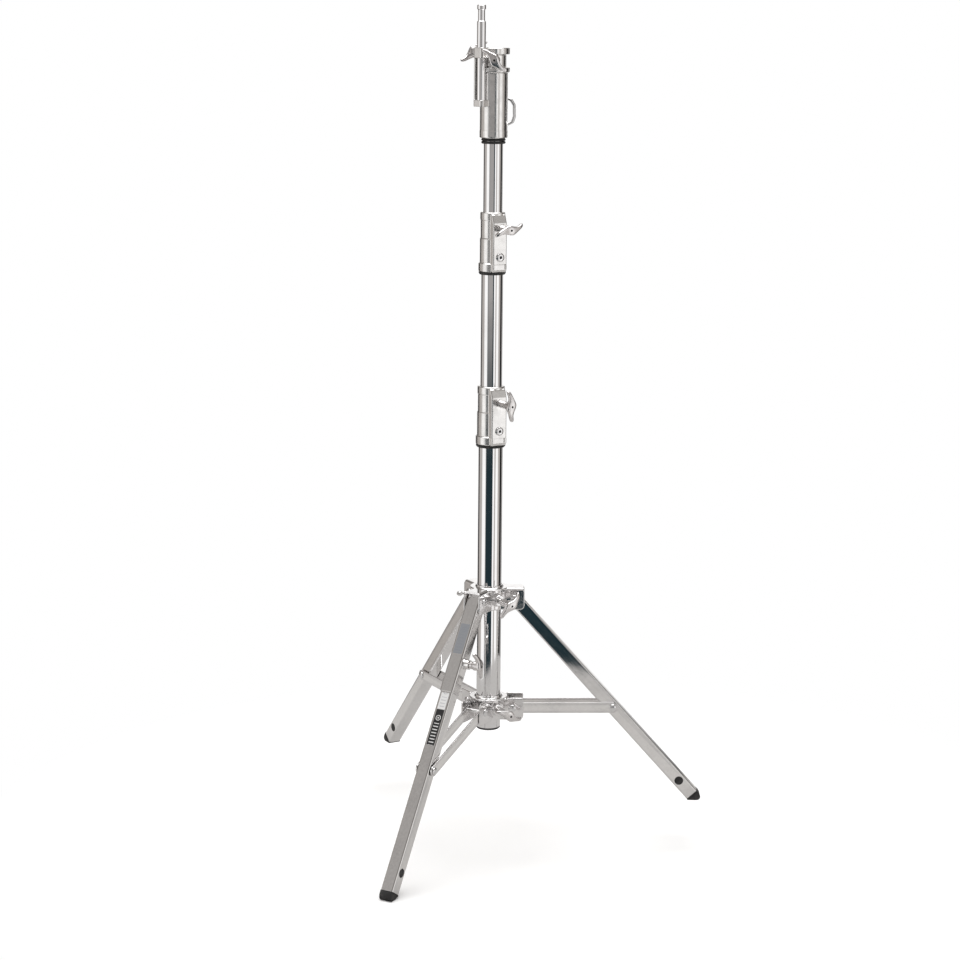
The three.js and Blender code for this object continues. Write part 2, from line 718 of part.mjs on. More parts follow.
function legAssembly(label) {
  const isFront = label === "front";
  const pin = LEG_TO_PIN + (isFront ? LEVELLING_EXTENSION : 0);
  const { legTilt, braceTilt } = spread(pin);
  const washer = isFront ? null : [LEG_SIZE / 2 + 0.2, CHANNEL_HALF - 0.2];
  const sleeve = isFront ? [levellingSleeve(), levellingClamp()] : [];
  const tubeTop = isFront ? LEVELLING_EXTENSION + 9 : -9;
  const leg = groupAt(
    AZIMUTH[label],
    UPPER_PIVOT.radius,
    UPPER_PIVOT.height,
    -legTilt,
    pivotBolt(`upper_pivot_bolt_${label}`, CHANNEL_HALF, washer, label === "rear" ? KNOB_STEM : []),
    legTube(`${label}_leg_tube`, tubeTop, pin),
    rubberFoot(`${label}_rubber_foot`, pin),
    ...sleeve,
  );
  const sides = { left: -1, right: 1 };
  const bars = Object.entries(sides).flatMap(([name, side]) => [
    braceBar(`${label}_brace_${name}`, side),
    braceRivet(`${label}_brace_rivet_${name}`, side),
  ]);
  const brace = groupAt(
    AZIMUTH[label],
    LOWER_PIVOT.radius,
    LOWER_PIVOT.height,
    -braceTilt,
    pivotBolt(`lower_pivot_bolt_${label}`, LOWER_CHANNEL_HALF, null),
    ...bars,
  );
  return [leg, brace];
}

// ---------------------------------------------------------------- the whole stand
const stand = new THREE.Group();
stand.add(
  baseTube(),
  baseEndPlug(),
  riserTube("riser_1_tube", RISER_1, RISER_CLAMP),
  riserGlide("riser_1_glide", RISER_1),
  riserTube("riser_2_tube", RISER_2, null),
  riserGlide("riser_2_glide", RISER_2),
  ...clampSet("base", BASE_CLAMP, 10),
  ...clampSet("riser", RISER_CLAMP, -70),
  receiverBody(),
  bumperRing("bumper_ring_lower", 1324.4),
  bumperRing("bumper_ring_upper", 1329.5),
  cableLoop(),
  receiverHandle(),
  spigotSet(),
  collar("upper_spider", UPPER_SPIDER, CHANNEL_HALF, ARM_REACH - 2, UPPER_PIVOT),
  collarClamp("upper", UPPER_PIVOT, BASE.radius + GAP, -40),
  collar("lower_spider", LOWER_SPIDER, LOWER_CHANNEL_HALF, 33, LOWER_PIVOT),
  collarClamp("lower", LOWER_PIVOT, BASE.radius + GAP, 70),
  ...Object.keys(AZIMUTH).flatMap(legAssembly),
);

// The origin is on the ground, under the middle of the stand's box.
const extent = new THREE.Box3().setFromObject(stand, true);
const middle = extent.getCenter(new THREE.Vector3());
stand.position.set(-middle.x, -middle.y, -extent.min.z);
stand.updateMatrixWorld(true);

export default stand;
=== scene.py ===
# %% [markdown]
# A combination lighting stand: three square-tube legs with twin-bar braces, two telescoping
# risers, a clamp with a T-shaped handle wherever something slides, and a head that takes either
# a 28 mm pin or a 16 mm spigot. The engineering model already says where every piece is and how
# it moves. This lesson dresses it: each piece gets a finished surface and rides on its own body.

import math

import bmesh
import bpy
import numpy as np
from mathutils import Matrix, Vector


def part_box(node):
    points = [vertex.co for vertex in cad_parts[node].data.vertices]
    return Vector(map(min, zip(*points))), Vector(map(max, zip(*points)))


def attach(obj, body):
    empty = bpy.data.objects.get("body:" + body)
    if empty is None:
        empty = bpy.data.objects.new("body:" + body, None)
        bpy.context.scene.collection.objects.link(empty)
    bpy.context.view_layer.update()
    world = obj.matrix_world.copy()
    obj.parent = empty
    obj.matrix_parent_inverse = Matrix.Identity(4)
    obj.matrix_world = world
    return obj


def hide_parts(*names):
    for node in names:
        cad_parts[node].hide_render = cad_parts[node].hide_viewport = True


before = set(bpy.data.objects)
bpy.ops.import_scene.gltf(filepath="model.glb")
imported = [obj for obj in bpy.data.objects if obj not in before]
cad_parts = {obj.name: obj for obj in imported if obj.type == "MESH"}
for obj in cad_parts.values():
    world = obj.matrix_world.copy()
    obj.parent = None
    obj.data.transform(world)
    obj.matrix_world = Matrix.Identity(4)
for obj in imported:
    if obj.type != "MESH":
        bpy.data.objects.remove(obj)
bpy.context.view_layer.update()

# %% [markdown]
# All shapes below are drawn in millimetres round the column's axis, as a machinist would read
# them from a drawing. One matrix takes them to the frame. The base tube tells it where the axis
# is and how high the drawing's zero lies.

# %% The drawing's place in the frame
BASE_TUBE_TOP = 865
tube_low, tube_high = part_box("base_tube")
axis_x, axis_y = (tube_low.x + tube_high.x) / 2, (tube_low.y + tube_high.y) / 2
drawing_zero = (axis_x, axis_y, tube_high.z - BASE_TUBE_TOP / 1000)
STAND = Matrix.Translation(drawing_zero) @ Matrix.Scale(0.001, 4)
LEG_AZIMUTH = {"right": 0, "rear": 120, "front": 240}
CLAMP_AZIMUTH = 300
BASE_HANDLE_HEIGHT, RISER_HANDLE_HEIGHT = 850, 1170
HEAD_HANDLE_AZIMUTH, HEAD_HANDLE_HEIGHT = 270, 1472
SPIGOT_AZIMUTH, SPIGOT_OUT = 227, 34
SPIGOT_HANDLE_AZIMUTH, SPIGOT_HANDLE_HEIGHT = 104, 1486
UPPER_PIVOT, LOWER_PIVOT = (47, 479), (45, 268)  # out from the axis, and up
print("column axis at", round(axis_x, 4), round(axis_y, 4))


def spin(azimuth):
    return Matrix.Rotation(math.radians(azimuth), 4, "Z")


def spoke(azimuth=0.0, out=0.0, up=0.0, tilt=0.0):
    """Turns to an azimuth, goes out and up, then leans about the sideways axis."""
    place = STAND @ spin(azimuth) @ Matrix.Translation((out, 0, up))
    return place @ Matrix.Rotation(tilt, 4, "Y")


# %% [markdown]
# Turned and extruded parts start as a 2-D outline. Real corners are never knife sharp, and the
# small radius is what catches the light, so the first helper swaps every corner for an arc.

# %% Outlines with radiused corners
def rounded(corners, radius, closed=True, steps=4):
    """Replaces each corner by an arc. radius is one number or one for each corner."""
    count = len(corners)
    radii = radius if isinstance(radius, (list, tuple)) else [radius] * count
    points = []
    for i, corner in enumerate(corners):
        here = Vector(corner)
        ends = not closed and i in (0, count - 1)
        to_last = Vector(corners[i - 1]) - here
        to_next = Vector(corners[(i + 1) % count]) - here
        if ends or radii[i] <= 0:
            points.append(tuple(here))
            continue
        half = to_last.angle(to_next) / 2
        if half > math.radians(88):
            points.append(tuple(here))
            continue
        reach = min(radii[i] / math.tan(half), 0.48 * to_last.length, 0.48 * to_next.length)
        arc = reach * math.tan(half)
        middle = (to_last.normalized() + to_next.normalized()).normalized()
        centre = here + middle * math.hypot(arc, reach)
        start = here + to_last.normalized() * reach - centre
        end = here + to_next.normalized() * reach - centre
        sweep = start.angle(end)
        for k in range(steps + 1):
            t = k / steps
            mix = (start * math.sin((1 - t) * sweep) + end * math.sin(t * sweep)) / math.sin(sweep)
            points.append(tuple(centre + mix))
    return points


def circle(radius, sides, centre=(0.0, 0.0)):
    angles = [2 * math.pi * k / sides for k in range(sides)]
    return [(centre[0] + radius * math.cos(a), centre[1] + radius * math.sin(a)) for a in angles]


def inset(outline, amount):
    """Moves an anticlockwise outline inwards by the same amount everywhere."""
    moved = []
    for i, corner in enumerate(outline):
        here = Vector(corner)
        before = (here - Vector(outline[i - 1])).normalized()
        after = (Vector(outline[(i + 1) % len(outline)]) - here).normalized()
        inward = Vector((-before.y - after.y, before.x + after.x)).normalized()
        stretch = max(0.5, inward.dot(Vector((-before.y, before.x))))
        moved.append(tuple(here + inward * amount / stretch))
    return moved


print("a radiused square has", len(rounded([(0, 0), (9, 0), (9, 9), (0, 9)], 2)), "points")


# %% [markdown]
# Three builders cover most of the metalwork. A turned part is a profile spun round Z, a plate is
# an outline with softened rims, and a bent rod follows a path. Each is a stack of rings with a
# skin over it, so every piece is closed from the start.

# %% Skins over rings
def skin(rings, wrap=False):
    """A closed mesh over equally long rings. wrap joins the last ring to the first."""
    size, count = len(rings[0]), len(rings)
    faces = []
    for i in range(count if wrap else count - 1):
        j = (i + 1) % count
        for k in range(size):
            n = (k + 1) % size
            faces.append((i * size + k, i * size + n, j * size + n, j * size + k))
    if not wrap:
        faces.append(tuple(reversed(range(size))))
        faces.append(tuple((count - 1) * size + k for k in range(size)))
    mesh = bpy.data.meshes.new("skin")
    mesh.from_pydata([tuple(p) for ring in rings for p in ring], [], faces)
    shell = bmesh.new()
    shell.from_mesh(mesh)
    bmesh.ops.recalc_face_normals(shell, faces=shell.faces)
    shell.to_mesh(mesh)
    shell.free()
    return mesh


def turned(profile, sides=96, wrap=False):
    """Spins [radius, height] pairs round Z. With wrap the profile is a closed loop, as of a ring."""
    rings = [[(x, y, height) for x, y in circle(radius, sides)] for radius, height in profile]
    return skin(rings, wrap)


def plate(outline, low, high, rim=0.5):
    """An outline in X-Y made thick along Z, with its two rims rounded."""
    angles = (0, math.pi / 6, math.pi / 3, math.pi / 2)
    lift = [(rim * (1 - math.sin(a)), rim * (1 - math.cos(a))) for a in angles]
    lower = [[(x, y, low + up) for x, y in inset(outline, into)] for into, up in lift]
    upper = [[(x, y, high - up) for x, y in inset(outline, into)] for into, up in reversed(lift)]
    return skin(lower + upper)


def bent_rod(path, radius, sides):
    """A round rod along points in the X-Z plane."""
    rings = []
    for i, point in enumerate(path):
        ahead = Vector(path[min(i + 1, len(path) - 1)]) - Vector(path[max(i - 1, 0)])
        across = Vector((-ahead.y, ahead.x)).normalized()
        ring = [(point[0] + across.x * u, v, point[1] + across.y * u) for u, v in circle(radius, sides)]
        rings.append(ring)
    return skin(rings)


UPRIGHT = Matrix.Rotation(math.radians(90), 4, "X")  # takes X-Y to X-Z
ALONG_X = Matrix.Rotation(math.radians(90), 4, "Y")  # takes +Z to +X
ALONG_Y = Matrix.Rotation(math.radians(-90), 4, "X")  # takes +Z to +Y


def moved(mesh, matrix):
    mesh.transform(matrix)
    return mesh


def at(x=0.0, y=0.0, z=0.0):
    return Matrix.Translation((x, y, z))


def merged(*meshes):
    """Several meshes as one, each still a closed shell."""
    whole = bmesh.new()
    for mesh in meshes:
        whole.from_mesh(mesh)
    result = bpy.data.meshes.new("merged")
    whole.to_mesh(result)
    whole.free()
    return result


print("a turned ring has", len(turned(circle(1, 8, (9, 0)), 24, True).polygons), "faces")


# %% [markdown]
# Castings and pressings have no seams where their parts meet, only soft fillets. A boolean leaves
# hard creases there, so overlapping shells are melted into one skin instead: a voxel remesh fuses
# them, a little smoothing rounds every edge, and thinning takes away the points that flat areas
# don't need.

# %% Carving and fusing
def evaluated(carrier):
    """The mesh that an object's modifiers make. The object itself is thrown away."""
    bpy.context.view_layer.update()
    depsgraph = bpy.context.evaluated_depsgraph_get()
    mesh = bpy.data.meshes.new_from_object(carrier.evaluated_get(depsgraph))
    bpy.data.objects.remove(carrier)
    return mesh


def bench(mesh):
    """Puts a mesh on the workbench as an object that modifiers can work on."""
    carrier = bpy.data.objects.new("bench", mesh)
    bpy.context.scene.collection.objects.link(carrier)
    return carrier


def carved(mesh, *tools):
    """Cuts tools out of a mesh."""
    work = bench(mesh)
    cutters = [bench(tool) for tool in tools]
    for cutter in cutters:
        step = work.modifiers.new("cut", "BOOLEAN")
        step.operation, step.solver, step.object = "DIFFERENCE", "MANIFOLD", cutter
    result = evaluated(work)
    for cutter in cutters:
        bpy.data.objects.remove(cutter)
    return result


def fused(mesh, voxel, softness, keep):
    """Melts overlapping shells into one soft-edged skin and keeps a share of its faces."""
    work = bench(mesh)
    melt = work.modifiers.new("melt", "REMESH")
    melt.mode, melt.voxel_size, melt.adaptivity = "VOXEL", voxel, 0
    soften = work.modifiers.new("soften", "SMOOTH")
    soften.factor, soften.iterations = 0.5, softness
    work.modifiers.new("thin", "DECIMATE").ratio = keep
    return evaluated(work)


# %% [markdown]
# Every finished piece carries two attributes for its material. piece_coords holds its own drawing
# coordinates in metres, so a grain runs along a leaning leg and stays with it when the leg folds.
# rim_wear is high where the surface turns a convex corner, which is where plating rubs bright.
# Weighted normals keep big flat faces flat, so that they mirror the room without a false gradient.

# %% Settling a piece into the frame
FLAT_BULGE, BULGE_RANGE = 0.06, 0.2
NORMAL_WEIGHT = 80


def convex_corners(mesh):
    """From 0 on flat or hollow places to 1 on convex corners, for each vertex."""
    count = len(mesh.vertices)
    place, normal = np.zeros(count * 3), np.zeros(count * 3)
    mesh.vertices.foreach_get("co", place)
    mesh.vertices.foreach_get("normal", normal)
    place, normal = place.reshape(-1, 3), normal.reshape(-1, 3)
    ends = np.zeros(len(mesh.edges) * 2, int)
    mesh.edges.foreach_get("vertices", ends)
    ends = ends.reshape(-1, 2)
    length = np.linalg.norm(place[ends[:, 0]] - place[ends[:, 1]], axis=1)
    total, spread, degree = np.zeros((count, 3)), np.zeros(count), np.zeros(count)
    for a, b in ((0, 1), (1, 0)):
        np.add.at(total, ends[:, a], place[ends[:, b]])
        np.add.at(spread, ends[:, a], length)
        np.add.at(degree, ends[:, a], 1)
    degree = np.maximum(degree, 1)
    bulge = np.einsum("ij,ij->i", place - total / degree[:, None], normal)
    sharpness = bulge / np.maximum(spread / degree, 1e-9)
    return np.clip((sharpness - FLAT_BULGE) / BULGE_RANGE, 0, 1)


def settle(name, mesh, place, finish, body, nodes=(), crease=32):
    """Moves a drawn mesh to its place, gives it its finish and rides it on its body."""
    mesh.name = name
    coords = np.zeros(len(mesh.vertices) * 3, np.float32)
    mesh.vertices.foreach_get("co", coords)
    mesh.attributes.new("piece_coords", "FLOAT_VECTOR", "POINT").data.foreach_set("vector", coords / 1000)
    wear = convex_corners(mesh).astype(np.float32)
    mesh.attributes.new("rim_wear", "FLOAT", "POINT").data.foreach_set("value", wear)
    mesh.transform(place)
    mesh.shade_smooth()
    mesh.set_sharp_from_angle(angle=math.radians(crease))
    work = bench(mesh)
    even = work.modifiers.new("even", "WEIGHTED_NORMAL")
    even.keep_sharp, even.weight = True, NORMAL_WEIGHT
    mesh = evaluated(work)
    mesh.name = name
    mesh.materials.clear()
    mesh.materials.append(finish)
    piece = bpy.data.objects.new(name, mesh)
    bpy.context.scene.collection.objects.link(piece)
    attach(piece, body)
    if nodes:
        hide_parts(*nodes)
    print(f"{name}: {len(mesh.polygons)} faces on {body}")
    return piece


# %% [markdown]
# Geometry Nodes make the parts that follow a rule. These small helpers add nodes, wire them and
# set a modifier's inputs. An input is set by its socket's identifier, before the object is first
# evaluated, and the result is turned into a plain mesh straight away.

# %% Working with node trees
def add(tree, kind, values=None, **settings):
    """Adds a node, sets its properties, then fills or wires its inputs."""
    node = tree.nodes.new(kind)
    for key, value in settings.items():
        setattr(node, key, value)
    for key, value in (values or {}).items():
        if isinstance(value, bpy.types.NodeSocket):
            tree.links.new(value, node.inputs[key])
        else:
            node.inputs[key].default_value = value
    return node


def sized_tree(name, sizes):
    """An empty Geometry Nodes tree with named sizes, and its Group Input node."""
    tree = bpy.data.node_groups.new(name, "GeometryNodeTree")
    tree.interface.new_socket("Geometry", in_out="OUTPUT", socket_type="NodeSocketGeometry")
    tree.interface.new_socket("Geometry", in_out="INPUT", socket_type="NodeSocketGeometry")
    for label, default in sizes.items():
        kind = "NodeSocketInt" if isinstance(default, int) else "NodeSocketFloat"
        socket = tree.interface.new_socket(label, in_out="INPUT", socket_type=kind)
        socket.default_value = default
    tree.interface.new_socket("Finish", in_out="INPUT", socket_type="NodeSocketMaterial")
    return tree, tree.nodes.new("NodeGroupInput")


def close_tree(tree, given, geometry):
    """Ends a tree with Realize Instances and Set Material."""
    solid = add(tree, "GeometryNodeRealizeInstances", {"Geometry": geometry})
    wires = {"Geometry": solid.outputs["Geometry"], "Material": given.outputs["Finish"]}
    dressed = add(tree, "GeometryNodeSetMaterial", wires)
    add(tree, "NodeGroupOutput", {"Geometry": dressed.outputs["Geometry"]})
    print(f"tree {tree.name}: {len(tree.nodes)} nodes")
    return tree


def grown(tree, finish, **sizes):
    """Runs a tree with these sizes and returns its mesh."""
    work = bench(bpy.data.meshes.new("seed"))
    grow = work.modifiers.new("grow", "NODES")
    grow.node_group = tree
    wanted = {**sizes, "Finish": finish}
    for socket in tree.interface.items_tree:
        if socket.in_out == "INPUT" and socket.name in wanted:
            grow[socket.identifier] = wanted[socket.name]
    return evaluated(work)


# %% [markdown]
# Surface effects come as shader groups, built once and used by every metal. Drawn and brushed
# steel shows fine lines along the piece: noise stretched along one direction gives both a tone
# and a height. Handling leaves larger soft smudges with a few scratches.

# %% Shader groups for grain and handling
def effect_group(name, inputs, outputs):
    """An empty shader group. inputs and outputs map names to socket types."""
    group = bpy.data.node_groups.new(name, "ShaderNodeTree")
    for label, (kind, default) in inputs.items():
        socket = group.interface.new_socket(label, in_out="INPUT", socket_type=f"NodeSocket{kind}")
        if default is not None:
            socket.default_value = default
    for label in outputs:
        group.interface.new_socket(label, in_out="OUTPUT", socket_type="NodeSocketFloat")
    return group, group.nodes.new("NodeGroupInput"), group.nodes.new("NodeGroupOutput")


def maths(tree, operation, a, b=0.5, clamp=False, third=0.5):
    values = {0: a, 1: b, 2: third}
    return add(tree, "ShaderNodeMath", values, operation=operation, use_clamp=clamp).outputs["Value"]


def vector_maths(tree, operation, a, b):
    return add(tree, "ShaderNodeVectorMath", {0: a, 1: b}, operation=operation).outputs[0]


def noise(tree, vector, scale, detail, **more):
    """The outputs of a noise texture: 0 is the value, 1 the colour."""
    values = {"Vector": vector, "Scale": scale, "Detail": detail, **more}
    return add(tree, "ShaderNodeTexNoise", values).outputs


def stretch_range(tree, value, low, high, to_low=0.0, to_high=1.0):
    limits = {"Value": value, "From Min": low, "From Max": high, "To Min": to_low, "To Max": to_high}
    return add(tree, "ShaderNodeMapRange", limits, clamp=True).outputs["Result"]


def wire(tree, node, **sources):
    """Links sources to a node's inputs. An underscore stands for a space."""
    for label, source in sources.items():
        tree.links.new(source, node.inputs[label.replace("_", " ")])


def make_drawn_grain():
    group, given, out = effect_group(
        "Drawn grain",
        {"Vector": ("Vector", None), "Across": ("Float", 900.0), "Along": ("Float", 12.0)},
        ["Tone", "Height"],
    )
    across, along = given.outputs["Across"], given.outputs["Along"]
    scale = add(group, "ShaderNodeCombineXYZ", {0: across, 1: across, 2: along})
    stretched = vector_maths(group, "MULTIPLY", given.outputs["Vector"], scale.outputs[0])
    lines = noise(group, stretched, 1.0, 3.0, Roughness=0.65)[0]
    broad = noise(group, stretched, 0.13, 2.0)[0]
    tone = maths(group, "ADD", maths(group, "MULTIPLY", lines, 0.6), maths(group, "MULTIPLY", broad, 0.4))
    wire(group, out, Tone=tone, Height=lines)
    return group


def make_handling_marks():
    group, given, out = effect_group(
        "Handling marks",
        {"Vector": ("Vector", None), "Size": ("Float", 22.0), "Scratches": ("Float", 0.5)},
        ["Smudge", "Scratch"],
    )
    place = given.outputs["Vector"]
    cloud = noise(group, place, given.outputs["Size"], 5.0)[0]
    tangled = noise(group, place, 130.0, 1.0)[1]
    wavy = vector_maths(group, "ADD", place, vector_maths(group, "MULTIPLY", tangled, (0.012, 0.012, 0.004)))
    cells = add(group, "ShaderNodeTexVoronoi", {"Vector": wavy, "Scale": 95.0}, feature="DISTANCE_TO_EDGE")
    thin = stretch_range(group, cells.outputs["Distance"], 0.0, 0.018, 1.0, 0.0)
    where = stretch_range(group, noise(group, place, 38.0, 2.0)[0], 0.55, 0.7)
    scratch = maths(group, "MULTIPLY", maths(group, "MULTIPLY", thin, where), given.outputs["Scratches"])
    wire(group, out, Smudge=stretch_range(group, cloud, 0.42, 0.68), Scratch=scratch)
    return group


DRAWN_GRAIN = make_drawn_grain()
HANDLING = make_handling_marks()
print("effect groups:", DRAWN_GRAIN.name, "and", HANDLING.name)


# %% [markdown]
# A tumbled casting is mottled and very slightly pebbled, and its corners are rubbed bright. The
# wear group takes the rim_wear attribute and breaks it up with noise, so that no edge wears evenly.

# %% Shader groups for castings and worn rims
def make_cast_skin():
    group, given, out = effect_group(
        "Cast skin",
        {"Vector": ("Vector", None), "Pebble": ("Float", 1400.0), "Cloud": ("Float", 60.0)},
        ["Tone", "Height"],
    )
    pebble = noise(group, given.outputs["Vector"], given.outputs["Pebble"], 2.0)[0]
    cloud = noise(group, given.outputs["Vector"], given.outputs["Cloud"], 4.0)[0]
    height = maths(group, "ADD", maths(group, "MULTIPLY", pebble, 0.35), maths(group, "MULTIPLY", cloud, 0.65))
    wire(group, out, Tone=stretch_range(group, cloud, 0.3, 0.7), Height=height)
    return group


def make_worn_rim():
    group, given, out = effect_group(
        "Worn rim", {"Vector": ("Vector", None), "Rim": ("Float", 0.0), "Reach": ("Float", 0.6)}, ["Bright"]
    )
    speckle = noise(group, given.outputs["Vector"], 210.0, 4.0)[0]
    ragged = maths(group, "ADD", given.outputs["Rim"], maths(group, "SUBTRACT", speckle, 0.62))
    wire(group, out, Bright=maths(group, "MULTIPLY", ragged, given.outputs["Reach"], True))
    return group


CAST_SKIN = make_cast_skin()
WORN_RIM = make_worn_rim()
print("effect groups:", CAST_SKIN.name, "and", WORN_RIM.name)


# %% [markdown]
# The finishes themselves. Nearly everything is a metal, so what sets the pieces apart is how
# sharply they mirror the room: polished plating on the tubes, softer plating on the pressed
# collars, lightly brushed plating on the legs and a satin, tumbled casting for clamps and handles.

# %% Metal finishes
def placed(tree, group, **values):
    return add(tree, "ShaderNodeGroup", values, node_tree=group).outputs


def blank_finish(name):
    """A new material with its node tree, its Principled BSDF and the piece's own coordinates."""
    finish = bpy.data.materials.new(name)
    finish.use_nodes = True
    tree = finish.node_tree
    shader = tree.nodes["Principled BSDF"]
    coords = add(tree, "ShaderNodeAttribute", attribute_name="piece_coords")
    return finish, tree, shader, coords.outputs["Vector"]


def tinted(tree, mask, first, second):
    """A colour mix. first may be a socket. The colours are inputs 6 and 7, the result output 2."""
    if not isinstance(first, bpy.types.NodeSocket):
        first = (*first, 1)
    values = {"Factor": mask, 6: first, 7: (*second, 1)}
    return add(tree, "ShaderNodeMix", values, data_type="RGBA").outputs[2]


def bumped(tree, height, distance):
    values = {"Height": height, "Strength": 1.0, "Distance": distance}
    return add(tree, "ShaderNodeBump", values).outputs["Normal"]


def handled_metal(name, marks, scratches, wear):
    """A metal with the marks of handling and the mask of its worn rims."""
    finish, tree, shader, coords = blank_finish(name)
    shader.inputs["Metallic"].default_value = 1
    hand = placed(tree, HANDLING, Vector=coords, Size=marks, Scratches=scratches)
    rim = add(tree, "ShaderNodeAttribute", attribute_name="rim_wear").outputs["Fac"]
    worn = placed(tree, WORN_RIM, Vector=coords, Rim=rim, Reach=wear)["Bright"]
    print("finish", name)
    return finish, tree, shader, coords, hand, worn


def metal_finish(name, clean, dull, gloss, across, along, marks, relief, wear):
    """Plated or bare metal. gloss is (roughness where clean, roughness where smudged)."""
    finish, tree, shader, coords, hand, worn = handled_metal(name, marks, 0.7, wear)
    grain = placed(tree, DRAWN_GRAIN, Vector=coords, Across=across, Along=along)
    lines, smudges = maths(tree, "MULTIPLY", grain["Tone"], 0.5), maths(tree, "MULTIPLY", hand["Smudge"], 0.5)
    tone = maths(tree, "ADD", lines, smudges, True)
    colour = tinted(tree, worn, tinted(tree, tone, clean, dull), (0.93, 0.92, 0.91))
    rough = stretch_range(tree, tone, 0.15, 0.85, *gloss)
    rough = maths(tree, "ADD", rough, maths(tree, "MULTIPLY", hand["Scratch"], 0.25), True)
    height = maths(tree, "SUBTRACT", grain["Height"], hand["Scratch"])
    wire(tree, shader, Base_Color=colour, Roughness=rough, Normal=bumped(tree, height, relief))
    return finish


def cast_finish(name, pale, dark, gloss, pebble, relief, wear):
    """Tumbled casting: mottled, faintly pebbled, with bright corners."""
    finish, tree, shader, coords, hand, worn = handled_metal(name, 45.0, 0.6, wear)
    surface = placed(tree, CAST_SKIN, Vector=coords, Pebble=pebble, Cloud=70.0)
    colour = tinted(tree, worn, tinted(tree, surface["Tone"], pale, dark), (0.94, 0.93, 0.92))
    rough = stretch_range(tree, surface["Tone"], 0.0, 1.0, *gloss)
    rough = maths(tree, "SUBTRACT", rough, maths(tree, "MULTIPLY", worn, 0.1))
    rough = maths(tree, "ADD", rough, maths(tree, "MULTIPLY", hand["Smudge"], 0.06), True)
    wire(tree, shader, Base_Color=colour, Roughness=rough, Normal=bumped(tree, surface["Height"], relief))
    return finish


PLATED_TUBE = metal_finish(
    "plated_tube", (0.86, 0.86, 0.87), (0.74, 0.73, 0.73), (0.03, 0.1), 700.0, 6.0, 16.0, 0.000006, 0.4
)
PLATED_SHEET = metal_finish(
    "plated_sheet", (0.86, 0.85, 0.85), (0.72, 0.71, 0.71), (0.10, 0.22), 160.0, 110.0, 40.0, 0.00004, 0.9
)
PLATED_LEG = metal_finish(
    "plated_leg", (0.80, 0.79, 0.79), (0.68, 0.67, 0.67), (0.04, 0.13), 620.0, 9.0, 18.0, 0.00001, 0.9
)
PLATED_BOLT = metal_finish(
    "plated_bolt", (0.84, 0.84, 0.85), (0.66, 0.65, 0.65), (0.12, 0.28), 400.0, 300.0, 90.0, 0.00003, 0.6
)
SATIN_CASTING = cast_finish(
    "satin_casting", (0.82, 0.81, 0.80), (0.73, 0.72, 0.71), (0.15, 0.24), 1300.0, 0.00003, 0.9
)
SATIN_HANDLE = cast_finish(
    "satin_handle", (0.80, 0.78, 0.77), (0.68, 0.66, 0.66), (0.16, 0.28), 1100.0, 0.00005, 0.9
)


# %% [markdown]
# Rubber and nylon are not metals: rubber is nearly black, dull and dusty, nylon milky. The pieces
# that stay as CAD nodes, such as the brake shoes and the glides inside the tubes, have no
# attributes of their own, so their versions of these finishes read Object coordinates.

# %% Rubber and nylon finishes
def soft_finish(name, dark, pale, gloss, relief, on_cad=False):
    finish, tree, shader, coords = blank_finish(name)
    if on_cad:
        coords = add(tree, "ShaderNodeTexCoord").outputs["Object"]
    surface = placed(tree, CAST_SKIN, Vector=coords, Pebble=1800.0, Cloud=140.0)
    hand = placed(tree, HANDLING, Vector=coords, Size=70.0, Scratches=0.4)
    dusty = maths(tree, "MULTIPLY", hand["Smudge"], surface["Tone"], True)
    rough = stretch_range(tree, surface["Tone"], 0.0, 1.0, *gloss)
    normal = bumped(tree, surface["Height"], relief)
    wire(tree, shader, Base_Color=tinted(tree, dusty, dark, pale), Roughness=rough, Normal=normal)
    print("finish", name)
    return finish


RUBBER = soft_finish("black_rubber", (0.012, 0.012, 0.013), (0.06, 0.058, 0.056), (0.48, 0.7), 0.0001)
CAD_RUBBER = soft_finish("plug_rubber", (0.014, 0.014, 0.015), (0.05, 0.05, 0.05), (0.5, 0.72), 0.0001, True)
CAD_NYLON = soft_finish("glide_nylon", (0.62, 0.60, 0.56), (0.72, 0.71, 0.68), (0.4, 0.6), 0.00008, True)
# Painted shade: this near-black finish goes on thin discs at the floor of sockets and dimples, so that those holes
# look as dark as deep shade.
SOCKET_SHADE_FINISH = soft_finish("painted_socket_shade", (0.01, 0.01, 0.011), (0.04, 0.04, 0.04), (0.35, 0.5), 0.00004)
hidden_nylon = [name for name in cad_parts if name.endswith("brake_shoe") or name.endswith("glide")]
for node in hidden_nylon + ["base_end_plug"]:
    finish = CAD_RUBBER if node == "base_end_plug" else CAD_NYLON
    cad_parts[node].data.materials.clear()
    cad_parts[node].data.materials.append(finish)
print("CAD nodes that stay:", len(hidden_nylon) + 1)


# %% [markdown]
# The tubes are drawn: one wall section, the same all the way along. In Geometry Nodes the wall's
# own little cross-section, a tall thin rectangle with radiused corners, is swept round the tube's
# outline. A circle gives the risers, a rounded square the legs, and nothing else changes.

# %% The drawn-tube tree
def curve_mesh(tree, path, profile, capped=False):
    """Sweeps a profile along a path."""
    values = {"Curve": path, "Profile Curve": profile, "Fill Caps": capped}
    return add(tree, "GeometryNodeCurveToMesh", values).outputs[0]


def filleted(tree, curve, radius, count):
    """Rounds a curve's corners with count points each."""
    node = add(tree, "GeometryNodeFilletCurve", {"Curve": curve})
    node.mode = "POLY"
    tree.links.new(radius, node.inputs["Radius"])
    node.inputs["Count"].default_value = count
    return node.outputs[0]


